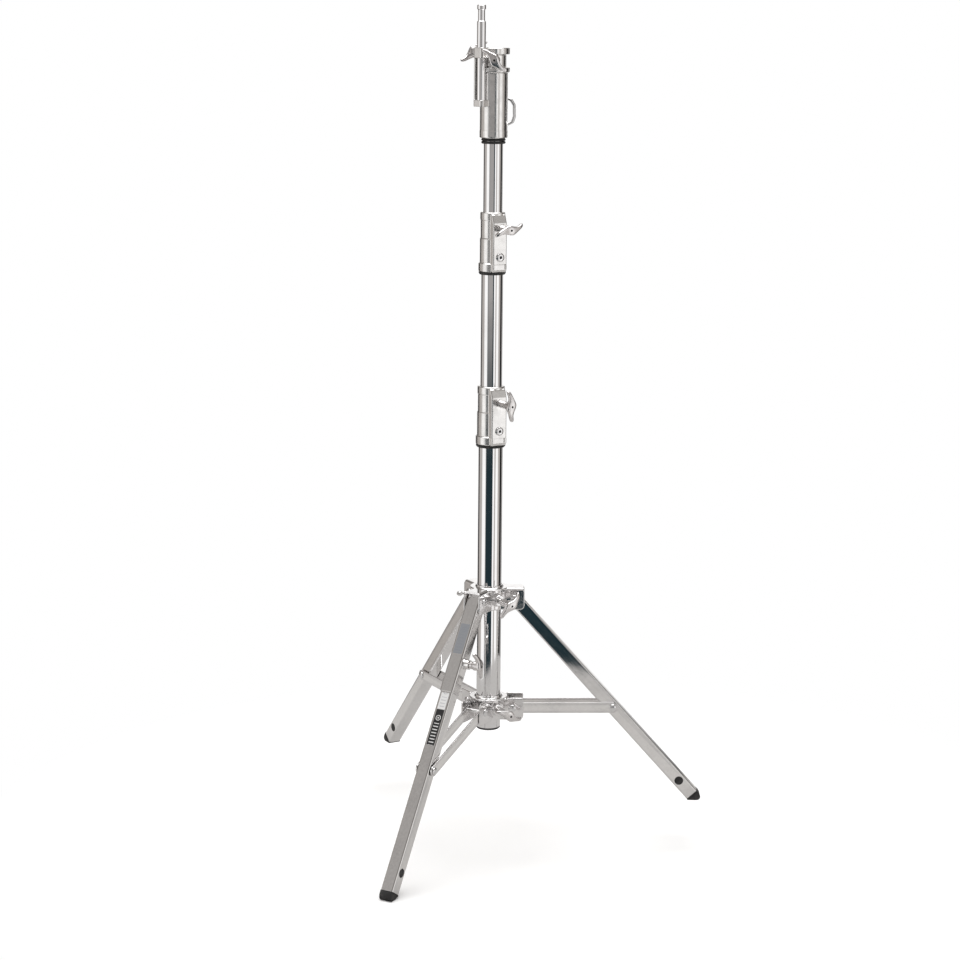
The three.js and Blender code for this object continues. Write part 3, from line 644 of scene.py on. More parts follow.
def make_drawn_tube(name, square):
    sizes = {"Width": 45.0, "Wall": 2.0, "Length": 500.0, "Corner": 3.0, "Rim": 0.4, "Sides": 96}
    tree, given = sized_tree(name, sizes)
    size = given.outputs
    middle = maths(tree, "SUBTRACT", size["Width"], size["Wall"])
    if square:
        path = add(tree, "GeometryNodeCurvePrimitiveQuadrilateral", {"Width": middle, "Height": middle})
        bend = maths(tree, "MULTIPLY_ADD", size["Wall"], -0.5, third=size["Corner"])
        path = filleted(tree, path.outputs[0], bend, 6)
    else:
        values = {"Resolution": size["Sides"], "Radius": maths(tree, "MULTIPLY", middle, 0.5)}
        path = add(tree, "GeometryNodeCurvePrimitiveCircle", values).outputs[0]
    values = {"Width": size["Wall"], "Height": size["Length"]}
    section = add(tree, "GeometryNodeCurvePrimitiveQuadrilateral", values).outputs[0]
    return close_tree(tree, given, curve_mesh(tree, path, filleted(tree, section, size["Rim"], 3)))


def outward(mesh):
    """Turns all faces of a closed mesh outwards."""
    shell = bmesh.new()
    shell.from_mesh(mesh)
    bmesh.ops.remove_doubles(shell, verts=shell.verts, dist=1e-5)
    bmesh.ops.recalc_face_normals(shell, faces=shell.faces)
    shell.to_mesh(mesh)
    shell.free()
    return mesh


ROUND_TUBE = make_drawn_tube("Drawn round tube", False)
SQUARE_TUBE = make_drawn_tube("Drawn square tube", True)


def drawn_tube(tree, finish, centre, **sizes):
    return moved(outward(grown(tree, finish, **sizes)), at(z=centre))


print("drawn-tube trees are ready")

# %% [markdown]
# The column is three round tubes, one inside the other. A clamp's brake shoe reaches through a
# hole in its tube, so the holes are cut as well.

# %% Column tubes
COLUMN = {
    "base_tube": (45.0, 229, BASE_TUBE_TOP, BASE_HANDLE_HEIGHT, "base"),
    "riser_1_tube": (40.0, 451, 1185, RISER_HANDLE_HEIGHT, "riser_1"),
    "riser_2_tube": (35.0, 597, 1405, None, "riser_2"),
}


def pin(radius, low, high, sides=48):
    """A plain cylinder along Z, as a cutter or a shank."""
    return turned([(radius, low), (radius, high)], sides)


def clamp_side(height):
    """Takes +Z to the side of the column where the clamps have their screws."""
    return spin(CLAMP_AZIMUTH) @ at(z=height) @ ALONG_X


for name, (width, low, high, shoe_height, body) in COLUMN.items():
    sizes = {"Width": width, "Wall": 2.0, "Length": float(high - low)}
    tube = drawn_tube(ROUND_TUBE, PLATED_TUBE, (low + high) / 2, **sizes)
    if shoe_height:
        tube = carved(tube, moved(pin(6.0, 10, 30), clamp_side(shoe_height)))
    settle(f"drawn_{name}", tube, STAND, PLATED_TUBE, body, [name])

# %% [markdown]
# Both riser clamps are the same casting in two sizes: a stepped sleeve over the tube's end with a
# tall boss on one side for the clamp screw and the screw that fixes it. The casting is fused
# solid and then bored, as the real one is.

# %% Riser clamps
SCREW_BORE, BOLT_BORE = 5.3, 4.3
SCREW_DROP, FIXING_RISE = 29, 33
CLAMPS = {
    "base": {"bottom": 765, "tube": 22.5, "tube_top": 865, "inner": 20.0, "boss": 31, "half": 16},
    "riser": {"bottom": 1085, "tube": 20.0, "tube_top": 1185, "inner": 17.5, "boss": 28, "half": 14.5},
}
CLAMP_BODIES = {"base": "base", "riser": "riser_1"}


def clamp_casting(bottom, tube, tube_top, inner, boss, half):
    low, top = bottom + 5.3, bottom + 114
    sleeve = [
        (tube + 4.2, low), (tube + 5.5, low + 1.6), (tube + 5.5, low + 15), (tube + 3.1, low + 16.6),
        (tube + 3.1, low + 60), (tube + 1.9, low + 61.6), (tube + 1.9, top - 15), (tube + 2.8, top - 13.8),
        (tube + 2.8, top - 1.6), (tube + 1.4, top),
    ]
    side = [(4, low), (boss - 4, low), (boss, low + 5), (boss, top - 20), (boss - 6, top - 3), (4, top - 3)]
    block = moved(plate(rounded(side, [0, 2, 4, 10, 5, 0]), -half, half, 2.2), UPRIGHT)
    ledge = [(4, low), (boss - 3.6, low), (boss + 0.6, low + 5), (boss + 0.6, low + 15), (4, low + 15)]
    step = moved(plate(rounded(ledge, [0, 2, 3, 1.5, 0]), -half + 0.2, half - 0.2, 2.0), UPRIGHT)
    boss_turn = spin(CLAMP_AZIMUTH)
    whole = fused(merged(turned(sleeve, 128), moved(merged(block, step), boss_turn)), 0.7, 3, 0.32)
    screw = moved(pin(SCREW_BORE, 5, 60), clamp_side(top - SCREW_DROP))
    fixing = moved(pin(BOLT_BORE, 5, 60), clamp_side(bottom + FIXING_RISE))
    notch = [(boss - 5, 9), (boss + 3, 9), (boss + 3, 11.4), (boss - 5, 11.4)]
    slit = moved(plate(rounded(notch, 0.9), low + 6, low + 15, 0.05), boss_turn)
    tube_bore = pin(tube + 0.3, low - 5, tube_top + 0.3, 128)
    riser_bore = pin(inner + 0.4, low - 5, top + 5, 128)
    return carved(whole, tube_bore, riser_bore, screw, fixing, slit)


for label, clamp in CLAMPS.items():
    body = CLAMP_BODIES[label]
    replaced = [f"{label}_clamp_body"]
    casting = clamp_casting(**clamp)
    settle(f"{label}_clamp_casting", casting, STAND, SATIN_CASTING, body, replaced, 40)
    low, inside = clamp["bottom"], clamp["tube"] + 0.3
    lip = [(0, 0), (2.6, 0), (4.5, 2.4), (4.5, 5), (0, 5)]
    lip = turned(rounded([(inside + out, low + up) for out, up in lip], 0.5), 96, True)
    settle(f"{label}_clamp_seal", lip, STAND, RUBBER, body, [f"{label}_clamp_gasket"])

# %% [markdown]
# A round-headed screw with a hexagon socket fixes each clamp. The socket is a hexagonal pocket
# with a near-black disc on its floor as painted shade.

# %% Fixing screws
def socket_screw(tip, face):
    head = rounded([(8, face), (8, face + 1.5), (5.6, face + 2.8)], [0.1, 1.2, 0.4], False)
    lathe = turned([(4, tip), (4, face)] + head + [(4.4, face + 2.8), (4.1, face + 2.5)], 64)
    return carved(lathe, pin(3.2, face + 0.3, face + 9, 6))


for label, clamp in CLAMPS.items():
    body = CLAMP_BODIES[label]
    place = spoke(CLAMP_AZIMUTH, 0, clamp["bottom"] + FIXING_RISE) @ ALONG_X
    face = clamp["boss"] + 0.3
    screw = socket_screw(clamp["tube"] + 0.3, face)
    settle(f"{label}_clamp_socket_screw", screw, place, PLATED_BOLT, body, [f"{label}_clamp_screw"])
    # Painted shade: a near-black disc on the socket's floor darkens the hole.
    socket_shade_disc = pin(3.1, face + 0.32, face + 0.6, 6)
    settle(f"{label}_clamp_socket_floor", socket_shade_disc, place, SOCKET_SHADE_FINISH, body)

# %% [markdown]
# One casting pattern serves all seven handles: a screw, a neck that swells to a collar, and an
# S-shaped wing for the fingers that leans back towards the screw. Only the lengths differ.

# %% The handle pattern
THREAD_RADIUS, THREAD_PITCH = 4.7, 1.5
HALF_WING = 30
DIMPLE_DEPTH = 1.6  # from the wing's middle outwards


def wing(reach):
    rings = []
    for step in range(41):
        angle = math.pi * step / 40
        along = -HALF_WING * math.cos(angle)
        share = along / HALF_WING
        tip = min(1.0, math.sqrt(max(0.0, 1 - abs(share) ** 10)) + 0.02)
        width = (3.6 + 6 * math.exp(-((along / 11) ** 2))) * tip
        depth = 4.5 * (0.86 + 0.14 * math.exp(-((along / 12) ** 2))) * tip
        sway, lean = 2.6 * math.sin(math.pi * along / HALF_WING), 6 * share**2
        ring = []
        for k in range(28):
            a = 2 * math.pi * k / 28
            c, s = math.cos(a), math.sin(a)
            u = math.copysign(abs(c) ** 0.62, c) * width
            v = math.copysign(abs(s) ** 0.62, s) * depth
            ring.append((reach - lean + v, sway + u, along))
        rings.append(ring)
    return skin(rings)


def circle_curve(tree, sides, radius):
    return add(tree, "GeometryNodeCurvePrimitiveCircle", {"Resolution": sides, "Radius": radius}).outputs[0]


def joined(tree, *parts):
    both = tree.nodes.new("GeometryNodeJoinGeometry")
    for part in parts:
        tree.links.new(part, both.inputs[0])
    return both.outputs[0]


def make_thread(name):
    """A screw thread along +Z: a spiral ridge over a core."""
    tree, given = sized_tree(name, {"Radius": 4.6, "Length": 20.0, "Turns": 14.0, "Ridge": 0.55})
    size = given.outputs
    top = add(tree, "ShaderNodeCombineXYZ", {2: size["Length"]})
    core_path = add(tree, "GeometryNodeCurvePrimitiveLine", {"End": top.outputs[0]}).outputs[0]
    core_radius = maths(tree, "SUBTRACT", size["Radius"], size["Ridge"])
    core = curve_mesh(tree, core_path, circle_curve(tree, 40, core_radius), True)
    values = {
        "Resolution": 36, "Rotations": size["Turns"], "Height": size["Length"],
        "Start Radius": core_radius, "End Radius": core_radius,
    }
    spiral = add(tree, "GeometryNodeCurveSpiral", values).outputs[0]
    ridge = curve_mesh(tree, spiral, circle_curve(tree, 6, size["Ridge"]), True)
    return close_tree(tree, given, joined(tree, core, ridge))


SCREW_THREAD = make_thread("Screw thread")


def handle(reach, neck):
    stem = [(7.0, neck), (7.0, reach - 14), (8.6, reach - 11), (8.6, reach - 3)]
    stem = rounded(stem, [0, 4, 1.5, 0], False)
    lathe = turned([(6.4, neck - 0.01), (7.0, neck + 0.7)] + stem[1:], 64)
    body = fused(merged(moved(lathe, ALONG_X), wing(reach)), 0.5, 3, 0.5)
    body = carved(body, moved(pin(2.2, reach + DIMPLE_DEPTH, reach + 9, 24), ALONG_X))
    length = neck + 0.6
    sizes = {"Radius": THREAD_RADIUS, "Length": length, "Turns": length / THREAD_PITCH}
    thread = grown(SCREW_THREAD, SATIN_HANDLE, **sizes)
    return merged(body, moved(outward(thread), ALONG_X))


def on_spoke(azimuth, tip, height):
    return spoke(azimuth, 0, height) @ at(x=tip)


FRONT_TILT, LEG_TILT = math.radians(32.597), math.radians(41.826)
LEVELLING_DROP = 121
SPIGOT_PLACE = spoke(SPIGOT_AZIMUTH, SPIGOT_OUT) @ spin(SPIGOT_HANDLE_AZIMUTH - SPIGOT_AZIMUTH)
LEVEL_PLACE = spoke(LEG_AZIMUTH["front"], *UPPER_PIVOT, -FRONT_TILT) @ at(z=-LEVELLING_DROP) @ spin(90)
COLLAR_NECK = 12.4 + 7.5  # the second number is how much thread shows
HANDLES = {  # where the screw's tip is, the wing's reach, the neck's start and the turn at rest
    "base_clamp_handle": (on_spoke(CLAMP_AZIMUTH, 26.0, BASE_HANDLE_HEIGHT), 48.0, 6.5, 10),
    "riser_clamp_handle": (on_spoke(CLAMP_AZIMUTH, 23.5, RISER_HANDLE_HEIGHT), 41.0, 6.0, -70),
    "upper_collar_handle": (on_spoke(CLAMP_AZIMUTH, 29.1, UPPER_PIVOT[1]), 51.9, COLLAR_NECK, -40),
    "lower_collar_handle": (on_spoke(CLAMP_AZIMUTH, 29.1, LOWER_PIVOT[1]), 51.9, COLLAR_NECK, 70),
    "receiver_handle": (on_spoke(HEAD_HANDLE_AZIMUTH, 15.2, HEAD_HANDLE_HEIGHT), 46.8, 17.3, 50),
    "spigot_handle": (SPIGOT_PLACE @ at(x=8.5, z=SPIGOT_HANDLE_HEIGHT), 53.5, 26.0, 55),
    "levelling_handle": (LEVEL_PLACE @ at(x=17.1), 28.9, 9.4, 62),
}
for name, (place, reach, neck, turn) in HANDLES.items():
    place = place @ Matrix.Rotation(math.radians(turn), 4, "X")
    settle(f"cast_{name}", handle(reach, neck), place, SATIN_HANDLE, name, [name], 40)
    # Painted shade: a near-black disc at the bottom of the dimple darkens the hole.
    dimple_shade_disc = moved(pin(2.1, reach + 1.65, reach + 1.9, 24), ALONG_X)
    settle(f"{name}_dimple", dimple_shade_disc, place, SOCKET_SHADE_FINISH, name)


# %% [markdown]
# The two collars are pressed from 3 mm sheet: a hub with a turned-up lip, three channels with
# rounded bends for the legs or braces, and a boss for the clamp screw. Each is melted together
# from simple shells, so the bends and roots get the soft radii of a pressing.

# %% Pressed collars
SHEET = 3.0
COLLARS = {
    "upper": {"bottom": 458, "top": 500, "inner": 14.2, "cover": 64, "pivot": UPPER_PIVOT},
    "lower": {"bottom": 246, "top": 288, "inner": 17.5, "cover": 33, "pivot": LOWER_PIVOT},
}
COLLAR_BODIES = {"upper": "leg_collar", "lower": "base"}
FULL_COVER = 60  # above this the channel covers the whole arm


def collar_arm(bottom, top, inner, cover):
    outer, shoulder = inner + SHEET, top - 3.6
    if cover > FULL_COVER:
        side, radii = [(12, bottom), (66, bottom), (66, shoulder), (12, shoulder)], [0, 8, 4, 0]
    else:
        side = [(12, bottom), (66, bottom), (66, top), (cover + 3, top), (cover - 4, shoulder), (12, shoulder)]
        radii = [0, 8, 4, 3, 3, 0]
    flange = plate(rounded(side, radii), -outer, -inner, 0.9)
    other = moved(plate(rounded(side, radii), inner, outer, 0.9), UPRIGHT)
    sill = top - 12
    bend = [
        (-outer, sill), (-inner, sill), (-inner, top - SHEET), (inner, top - SHEET), (inner, sill),
        (outer, sill), (outer, top), (-outer, top),
    ]
    channel = plate(rounded(bend, [0.5, 0.5, 2.4, 2.4, 0.5, 0.5, 5, 5], steps=6), 8, cover, 0.9)
    stand_up = Matrix(((0, 0, 1, 0), (1, 0, 0, 0), (0, 1, 0, 0), (0, 0, 0, 1)))
    return merged(moved(flange, UPRIGHT), other, moved(channel, stand_up))


def pressed_collar(bottom, top, inner, cover, pivot):
    out, height = pivot
    arms = [moved(collar_arm(bottom, top, inner, cover), spin(azimuth)) for azimuth in LEG_AZIMUTH.values()]
    hub = turned([(26.2, bottom), (27, bottom + 0.8), (27, top - 1), (26, top), (25.2, top + 4)], 128)
    lid = turned([(35.2, top - SHEET), (36, top - 2.2), (36, top - 0.8), (35.2, top)], 128)
    boss = moved(turned([(12.4, 24), (11.4, 28), (11, 33), (11, 39), (10, 40)], 64), clamp_side(height))
    whole = fused(merged(*arms, hub, lid, boss), 0.75, 3, 0.3)
    tools = [pin(23.0, bottom - 6, top + 12, 128), moved(pin(SCREW_BORE, 10, 60), clamp_side(height))]
    for azimuth in LEG_AZIMUTH.values():
        tools.append(moved(pin(BOLT_BORE, -40, 40), spin(azimuth) @ at(x=out, z=height) @ ALONG_Y))
    return carved(whole, *tools)


for label, collar in COLLARS.items():
    pressing, body = pressed_collar(**collar), COLLAR_BODIES[label]
    settle(f"{label}_pressed_collar", pressing, STAND, PLATED_SHEET, body, [f"{label}_spider"], 40)

# %% [markdown]
# A bolt has the same domed head at both ends, so one tree makes them all: it puts a dome on each
# point of a two-point line and joins a shank between them. Two of the legs also have plain spacers
# on their bolt, and the rear one a stem with a round knob.

# %% The domed-fastener tree
def make_domed(name):
    tree, given = sized_tree(name, {"Shank": 4.0, "Start": -17.5, "End": 17.5, "Head": 7.4, "Height": 3.3})
    size = given.outputs
    low = add(tree, "ShaderNodeCombineXYZ", {2: size["Start"]}).outputs[0]
    high = add(tree, "ShaderNodeCombineXYZ", {2: size["End"]}).outputs[0]
    line = add(tree, "GeometryNodeCurvePrimitiveLine", {"Start": low, "End": high}).outputs[0]
    shank = curve_mesh(tree, line, circle_curve(tree, 32, size["Shank"]), True)
    ends = add(tree, "GeometryNodeCurveToPoints", {"Curve": line}, mode="EVALUATED")
    ball = add(tree, "GeometryNodeMeshUVSphere", {"Segments": 48, "Rings": 24, "Radius": 1.0})
    scale = add(tree, "ShaderNodeCombineXYZ", {0: size["Head"], 1: size["Head"], 2: size["Height"]})
    values = {"Points": ends.outputs[0], "Instance": ball.outputs[0], "Scale": scale.outputs[0]}
    heads = add(tree, "GeometryNodeInstanceOnPoints", values).outputs[0]
    return close_tree(tree, given, joined(tree, shank, heads))


DOMED = make_domed("Domed fastener")
KNOB = [(2.8, 20.0), (2.8, 32.5), (4.4, 33.5), (4.9, 36), (4.4, 40), (2.6, 42)]
SPACER = [(8.5, 12.7), (8.5, 14.0)]
FRONT_BRACE_TILT, BRACE_TILT = math.radians(19.789), math.radians(-0.622)


def leg_frame(label):
    return spoke(LEG_AZIMUTH[label], *UPPER_PIVOT, -(FRONT_TILT if label == "front" else LEG_TILT))


def brace_frame(label):
    return spoke(LEG_AZIMUTH[label], *LOWER_PIVOT, FRONT_BRACE_TILT if label == "front" else BRACE_TILT)


def domed_bolt(half):
    """A bolt along Y with a head at each end."""
    bolt = grown(DOMED, PLATED_BOLT, Start=-half, End=half, Head=7.4, Height=3.2)
    return moved(outward(bolt), ALONG_Y)


for label in LEG_AZIMUTH:
    bolt = domed_bolt(17.6)
    if label != "front":
        for side in (ALONG_Y @ Matrix.Rotation(math.pi, 4, "X"), ALONG_Y):
            bolt = merged(bolt, moved(turned(SPACER, 48), side))
    if label == "rear":
        bolt = merged(bolt, moved(turned(KNOB, 48), ALONG_Y))
    replaced = [f"upper_pivot_bolt_{label}"]
    settle(f"upper_bolt_{label}", bolt, leg_frame(label), PLATED_BOLT, "leg_collar", replaced)
    replaced = [f"lower_pivot_bolt_{label}"]
    settle(f"lower_bolt_{label}", domed_bolt(20.9), brace_frame(label), PLATED_BOLT, "base", replaced)

# %% [markdown]
# The legs are square tubes from the same kind of tree as the column. The front one slides in a
# thin sleeve. A rubber foot plugs each tube's end, with two round buttons that snap into the
# tube's side walls and a wedge that stands flat on the ground.

# %% Legs, sleeve and feet
PIN_DISTANCE = {"right": 280.4, "rear": 280.4, "front": 326.4}


def foot(distance):
    end, reach = 229.8, 17
    heel = (-12.5, -(end + 2.8))
    toe = (heel[0] + reach * math.cos(LEG_TILT), heel[1] - reach * math.sin(LEG_TILT))
    last = (12.5, -(end + 4))
    curve = []
    first, second = (toe[0] + 6, toe[1] - 4.5), (12.5, -(end + 14))
    for k in range(13):
        t = k / 12
        weights = ((1 - t) ** 3, 3 * t * (1 - t) ** 2, 3 * t * t * (1 - t), t**3)
        pulls = list(zip(weights, (toe, first, second, last)))
        curve.append(tuple(sum(weight * point[i] for weight, point in pulls) for i in (0, 1)))
    outline = [(-12.5, -end), heel] + curve + [(12.5, -end)]
    outline = rounded(outline, [0.3, 1.2] + [0] * len(curve) + [0.3])
    wedge = moved(plate(outline, -12.5, 12.5, 1.0), UPRIGHT)
    block = [(-10.2, -10.2), (10.2, -10.2), (10.2, 10.2), (-10.2, 10.2)]
    plug = plate(rounded(block, 2), -(end + 1), -178, 0.8)
    button = turned([(6.6, -13.1), (7.6, -12.8), (7.95, -12.3), (7.95, 12.3), (7.6, 12.8), (6.6, 13.1)], 56)
    button = moved(button, at(z=-192) @ ALONG_Y)
    return moved(merged(wedge, plug, button), at(z=-distance))


for label, distance in PIN_DISTANCE.items():
    high, low = (-55.0 if label == "front" else 9.0), -(distance + 229.5)
    sizes = {"Width": 25.0, "Wall": 2.0, "Length": high - low, "Corner": 3.0, "Rim": 0.35}
    tube = drawn_tube(SQUARE_TUBE, PLATED_LEG, (high + low) / 2, **sizes)
    holes = [moved(pin(8.3, -30, 30, 56), at(z=-distance - 192) @ ALONG_Y)]
    if label != "front":
        holes.append(moved(pin(BOLT_BORE, -30, 30), ALONG_Y))
    place, body = leg_frame(label), f"{label}_leg"
    replaced = [f"{label}_leg_tube"]
    settle(f"{label}_drawn_leg", carved(tube, *holes), place, PLATED_LEG, body, replaced)
    settle(f"{label}_wedge_foot", foot(distance), place, RUBBER, body, [f"{label}_rubber_foot"])
sizes = {"Width": 27.8, "Wall": 1.1, "Length": 189.0, "Corner": 3.4, "Rim": 0.3}
sleeve = drawn_tube(SQUARE_TUBE, PLATED_LEG, -85.5, **sizes)
boss_place = at(z=-LEVELLING_DROP) @ ALONG_Y
boss = moved(turned([(11.5, 13.0), (10.2, 14.4), (9.2, 16.5), (9, 24.4), (8.4, 25)], 56), boss_place)
bolt_hole = moved(pin(BOLT_BORE, -30, 30), ALONG_Y)
sleeve = carved(sleeve, bolt_hole, moved(pin(SCREW_BORE, 5, 40), boss_place))
sleeve = merged(sleeve, carved(boss, moved(pin(SCREW_BORE, 5, 40), boss_place)))
place, body = leg_frame("front"), "levelling_sleeve"
settle("levelling_outer_sleeve", sleeve, place, PLATED_LEG, body, ["levelling_sleeve"])

# %% [markdown]
# Each brace is a pair of flat bars with round ends, held to the leg by one rivet on each side.

# %% Braces
RIVET_DISTANCE = 189
BAR_BORE = 4.7


def brace_bar(side):
    angles = [math.pi * k / 24 for k in range(25)]
    outline = [(-10 * math.sin(a), 10 * math.cos(a)) for a in angles]
    outline += [(RIVET_DISTANCE + 10 * math.sin(a), -10 * math.cos(a)) for a in angles]
    low, high = (14, 17) if side > 0 else (-17, -14)
    bar = moved(plate(outline, -high, -low, 0.7), UPRIGHT)
    holes = [moved(pin(BAR_BORE, -30, 30), at(x=x) @ ALONG_Y) for x in (0, RIVET_DISTANCE)]
    return carved(bar, *holes)


RIVET = [(4, 14), (4, 17.3), (7, 17.35), (7.0, 18.1), (6.4, 19.1), (5.0, 19.9), (3.0, 20.25), (1.0, 20.3)]
for label in LEG_AZIMUTH:
    place, body = brace_frame(label), f"{label}_brace"
    for name, side in (("left", -1), ("right", 1)):
        piece, replaced = f"{label}_brace_bar_{name}", [f"{label}_brace_{name}"]
        settle(piece, brace_bar(side), place, PLATED_LEG, body, replaced)
        facing = ALONG_Y if side > 0 else UPRIGHT
        piece, replaced = f"{label}_brace_{name}_rivet", [f"{label}_brace_rivet_{name}"]
        rivet_place = place @ at(x=RIVET_DISTANCE) @ facing
        settle(piece, turned(RIVET, 48), rivet_place, PLATED_BOLT, body, replaced)

# %% [markdown]
# The head: a casting with three collars and a deep socket, a bracket on its side that guides the
# spigot, a wire loop for cables and two rubber rings that take the shock when the riser drops.

# %% The receiver casting
def receiver():
    low, top = 1332.6, 1493.6
    lathe = [
        (24.4, low), (25.4, low + 1.6), (25.4, low + 13), (25, low + 14), (25, 1448.6), (28, 1450.2),
        (28.4, 1451), (28.4, 1457.4), (28, 1458.2), (22.4, 1459.8), (22, 1460.6), (22, 1479.6), (22.4, 1480.6),
        (28, 1482), (28.4, 1482.8), (28.4, top - 1.4), (27.6, top - 0.3), (26.8, top),
    ]
    screw_side = spin(HEAD_HANDLE_AZIMUTH) @ at(z=HEAD_HANDLE_HEIGHT) @ ALONG_X
    boss = moved(turned([(10, 20), (9.4, 24), (9, 27), (9, 30.2), (8.2, 31)], 56), screw_side)
    whole = fused(merged(turned(lathe, 144), boss), 0.7, 2, 0.34)
    spigot_way = moved(pin(8.7, low - 6, top + 6), spin(SPIGOT_AZIMUTH) @ at(x=SPIGOT_OUT))
    angle = math.radians(SPIGOT_AZIMUTH)
    x, y = SPIGOT_OUT * math.cos(angle), SPIGOT_OUT * math.sin(angle)
    aim = at(x, y, SPIGOT_HANDLE_HEIGHT) @ spin(SPIGOT_HANDLE_AZIMUTH) @ ALONG_X
    riser_bore, socket = pin(17.8, low - 6, 1405.3, 128), pin(14.4, 1412, top + 6, 128)
    screws = moved(pin(SCREW_BORE, 5, 60), screw_side), spigot_way, moved(pin(7.5, 0, 80), aim)
    return carved(whole, riser_bore, socket, *screws)


replaced = ["receiver_body"]
settle("receiver_casting", receiver(), STAND, SATIN_CASTING, "riser_2", replaced, 40)
for name, centre in (("lower", 1324.4), ("upper", 1329.5)):
    low, high = centre - 2.3, centre + 2.3
    section = [(17.8, low), (20.7, low), (22.7, centre), (20.7, high), (17.8, high)]
    ring = turned(rounded(section, [0.3, 1.4, 1.6, 1.4, 0.3]), 96, True)
    settle(f"shock_ring_{name}", ring, STAND, RUBBER, "riser_2", [f"bumper_ring_{name}"])

# %% The loop, the spigot and its bracket
LOOP = [(25.4, 1403), (31.5, 1400.4), (36.9, 1391.5), (37.4, 1371), (34.2, 1361.2), (25.4, 1357)]
loop = bent_rod(rounded(LOOP, 5, False, 6), 2.7, 24)
settle("cable_wire_loop", loop, STAND, PLATED_BOLT, "riser_2", ["cable_loop"])
SPIGOT = [
    (7, 1398), (8, 1399), (8, 1539), (7.7, 1539.8), (6.3, 1541), (6.3, 1560), (7.7, 1561.4), (8, 1562),
    (8, 1567.6), (7.7, 1568.4), (7, 1569),
]
spigot_place = spoke(SPIGOT_AZIMUTH, SPIGOT_OUT)
settle("turned_spigot", turned(SPIGOT, 72), spigot_place, PLATED_TUBE, "spigot", ["spigot"])


def bracket():
    side = plate(rounded([(21.6, 1389), (40, 1389), (40, 1494), (21.6, 1494)], [1, 3, 3, 1]), 9.5, 12.5, 0.8)
    shells = [moved(side, UPRIGHT)]
    for low, high in ((1389, 1401), (1475, 1494)):
        eye = [(22.6, -12.5), (40, -12.5), (43, -9), (43, 7), (39.5, 10.5), (22.6, 10.5)]
        shells.append(plate(rounded(eye, [0.5, 3, 3, 3, 3, 0.5]), low, high, 1.2))
    whole = fused(merged(*shells), 0.55, 3, 0.4)
    aim = at(x=SPIGOT_OUT, z=SPIGOT_HANDLE_HEIGHT) @ spin(SPIGOT_HANDLE_AZIMUTH - SPIGOT_AZIMUTH) @ ALONG_X
    spigot_way = moved(pin(8.4, 1380, 1500), at(x=SPIGOT_OUT))
    hollows = pin(25.6, 1380, 1448, 128), pin(29.0, 1447.5, 1500, 128)
    return carved(whole, spigot_way, *hollows, moved(pin(SCREW_BORE, 0, 60), aim))


place, replaced = spoke(SPIGOT_AZIMUTH), ["spigot_carrier"]
settle("spigot_bracket", bracket(), place, SATIN_CASTING, "riser_2", replaced, 40)

# %% [markdown]
# The stickers are thin plates of film. Their print comes from the piece's own coordinates: a ring
# and a few bars on black, plain white, and a bluish holographic strip. There is no lettering.

# %% Stickers
def film_finish(name, ground, ink, gloss, sheen=0.0):
    """A printed film: a ring high up and bars below it, in ink on a ground colour."""
    finish, tree, shader, coords = blank_finish(name)
    shader.inputs["Coat Weight"].default_value = 0.5
    shader.inputs["Roughness"].default_value = gloss
    shader.inputs["Metallic"].default_value = sheen
    part = add(tree, "ShaderNodeSeparateXYZ", {0: coords})
    down, across = part.outputs["X"], part.outputs["Y"]
    centred = maths(tree, "ADD", down, -0.018)
    squares = [maths(tree, "MULTIPLY", value, value) for value in (centred, across)]
    distance = maths(tree, "SQRT", maths(tree, "ADD", *squares))
    ring = maths(tree, "COMPARE", distance, 0.0045, third=0.0007)
    dot = maths(tree, "LESS_THAN", distance, 0.0016)
    bars = maths(tree, "GREATER_THAN", maths(tree, "SINE", maths(tree, "MULTIPLY", down, 1050.0)), 0.55)
    inside = maths(tree, "LESS_THAN", maths(tree, "ABSOLUTE", across), 0.0052)
    below = maths(tree, "LESS_THAN", down, 0.008)
    lines = maths(tree, "MULTIPLY", maths(tree, "MULTIPLY", bars, inside), below)
    mask = maths(tree, "ADD", maths(tree, "ADD", ring, dot), lines, True)
    wire(tree, shader, Base_Color=tinted(tree, mask, ground, ink))
    print("finish", name)
    return finish


SLEEVE_FACE, LEG_FACE, FILM = 13.95, 12.55, 0.18
STICKERS = {
    "black_sticker": (LEG_FACE, 249.5, 34, 8.0, "front_leg", (0.012, 0.012, 0.013), (0.75, 0.75, 0.75), 0.28),
    "white_sticker": (LEG_FACE, 199.0, 16, 8.0, "front_leg", (0.82, 0.82, 0.82), (0.6, 0.6, 0.62), 0.4),
    "foil_sticker": (SLEEVE_FACE, 78.0, 29, 9.5, "levelling_sleeve", (0.60, 0.64, 0.70), (0.57, 0.61, 0.68), 0.12),
}
for name, (out, below, length, width, body, ground, ink, gloss) in STICKERS.items():
    corners = [(-length, -width), (length, -width), (length, width), (-length, width)]
    film = plate(rounded(corners, 1.2), 0, FILM, 0.04)
    place = leg_frame("front") @ at(x=out, z=-below) @ Matrix.Rotation(math.radians(-90), 4, "Y")
    place = place @ Matrix.Rotation(math.pi, 4, "X") @ at(z=-FILM)
    sheen = 1.0 if name == "foil_sticker" else 0.0
    settle(name, film, place, film_finish(f"{name}_film", ground, ink, gloss, sheen), body, ())

# %% [markdown]
# Polished metal looks like its surroundings, so the studio matters as much as the materials. The
# world is white where the camera looks straight at it. Reflections see a room instead, with dark,
# grey, warm and white bands round it and a bright ceiling, so this is not a plain white studio.

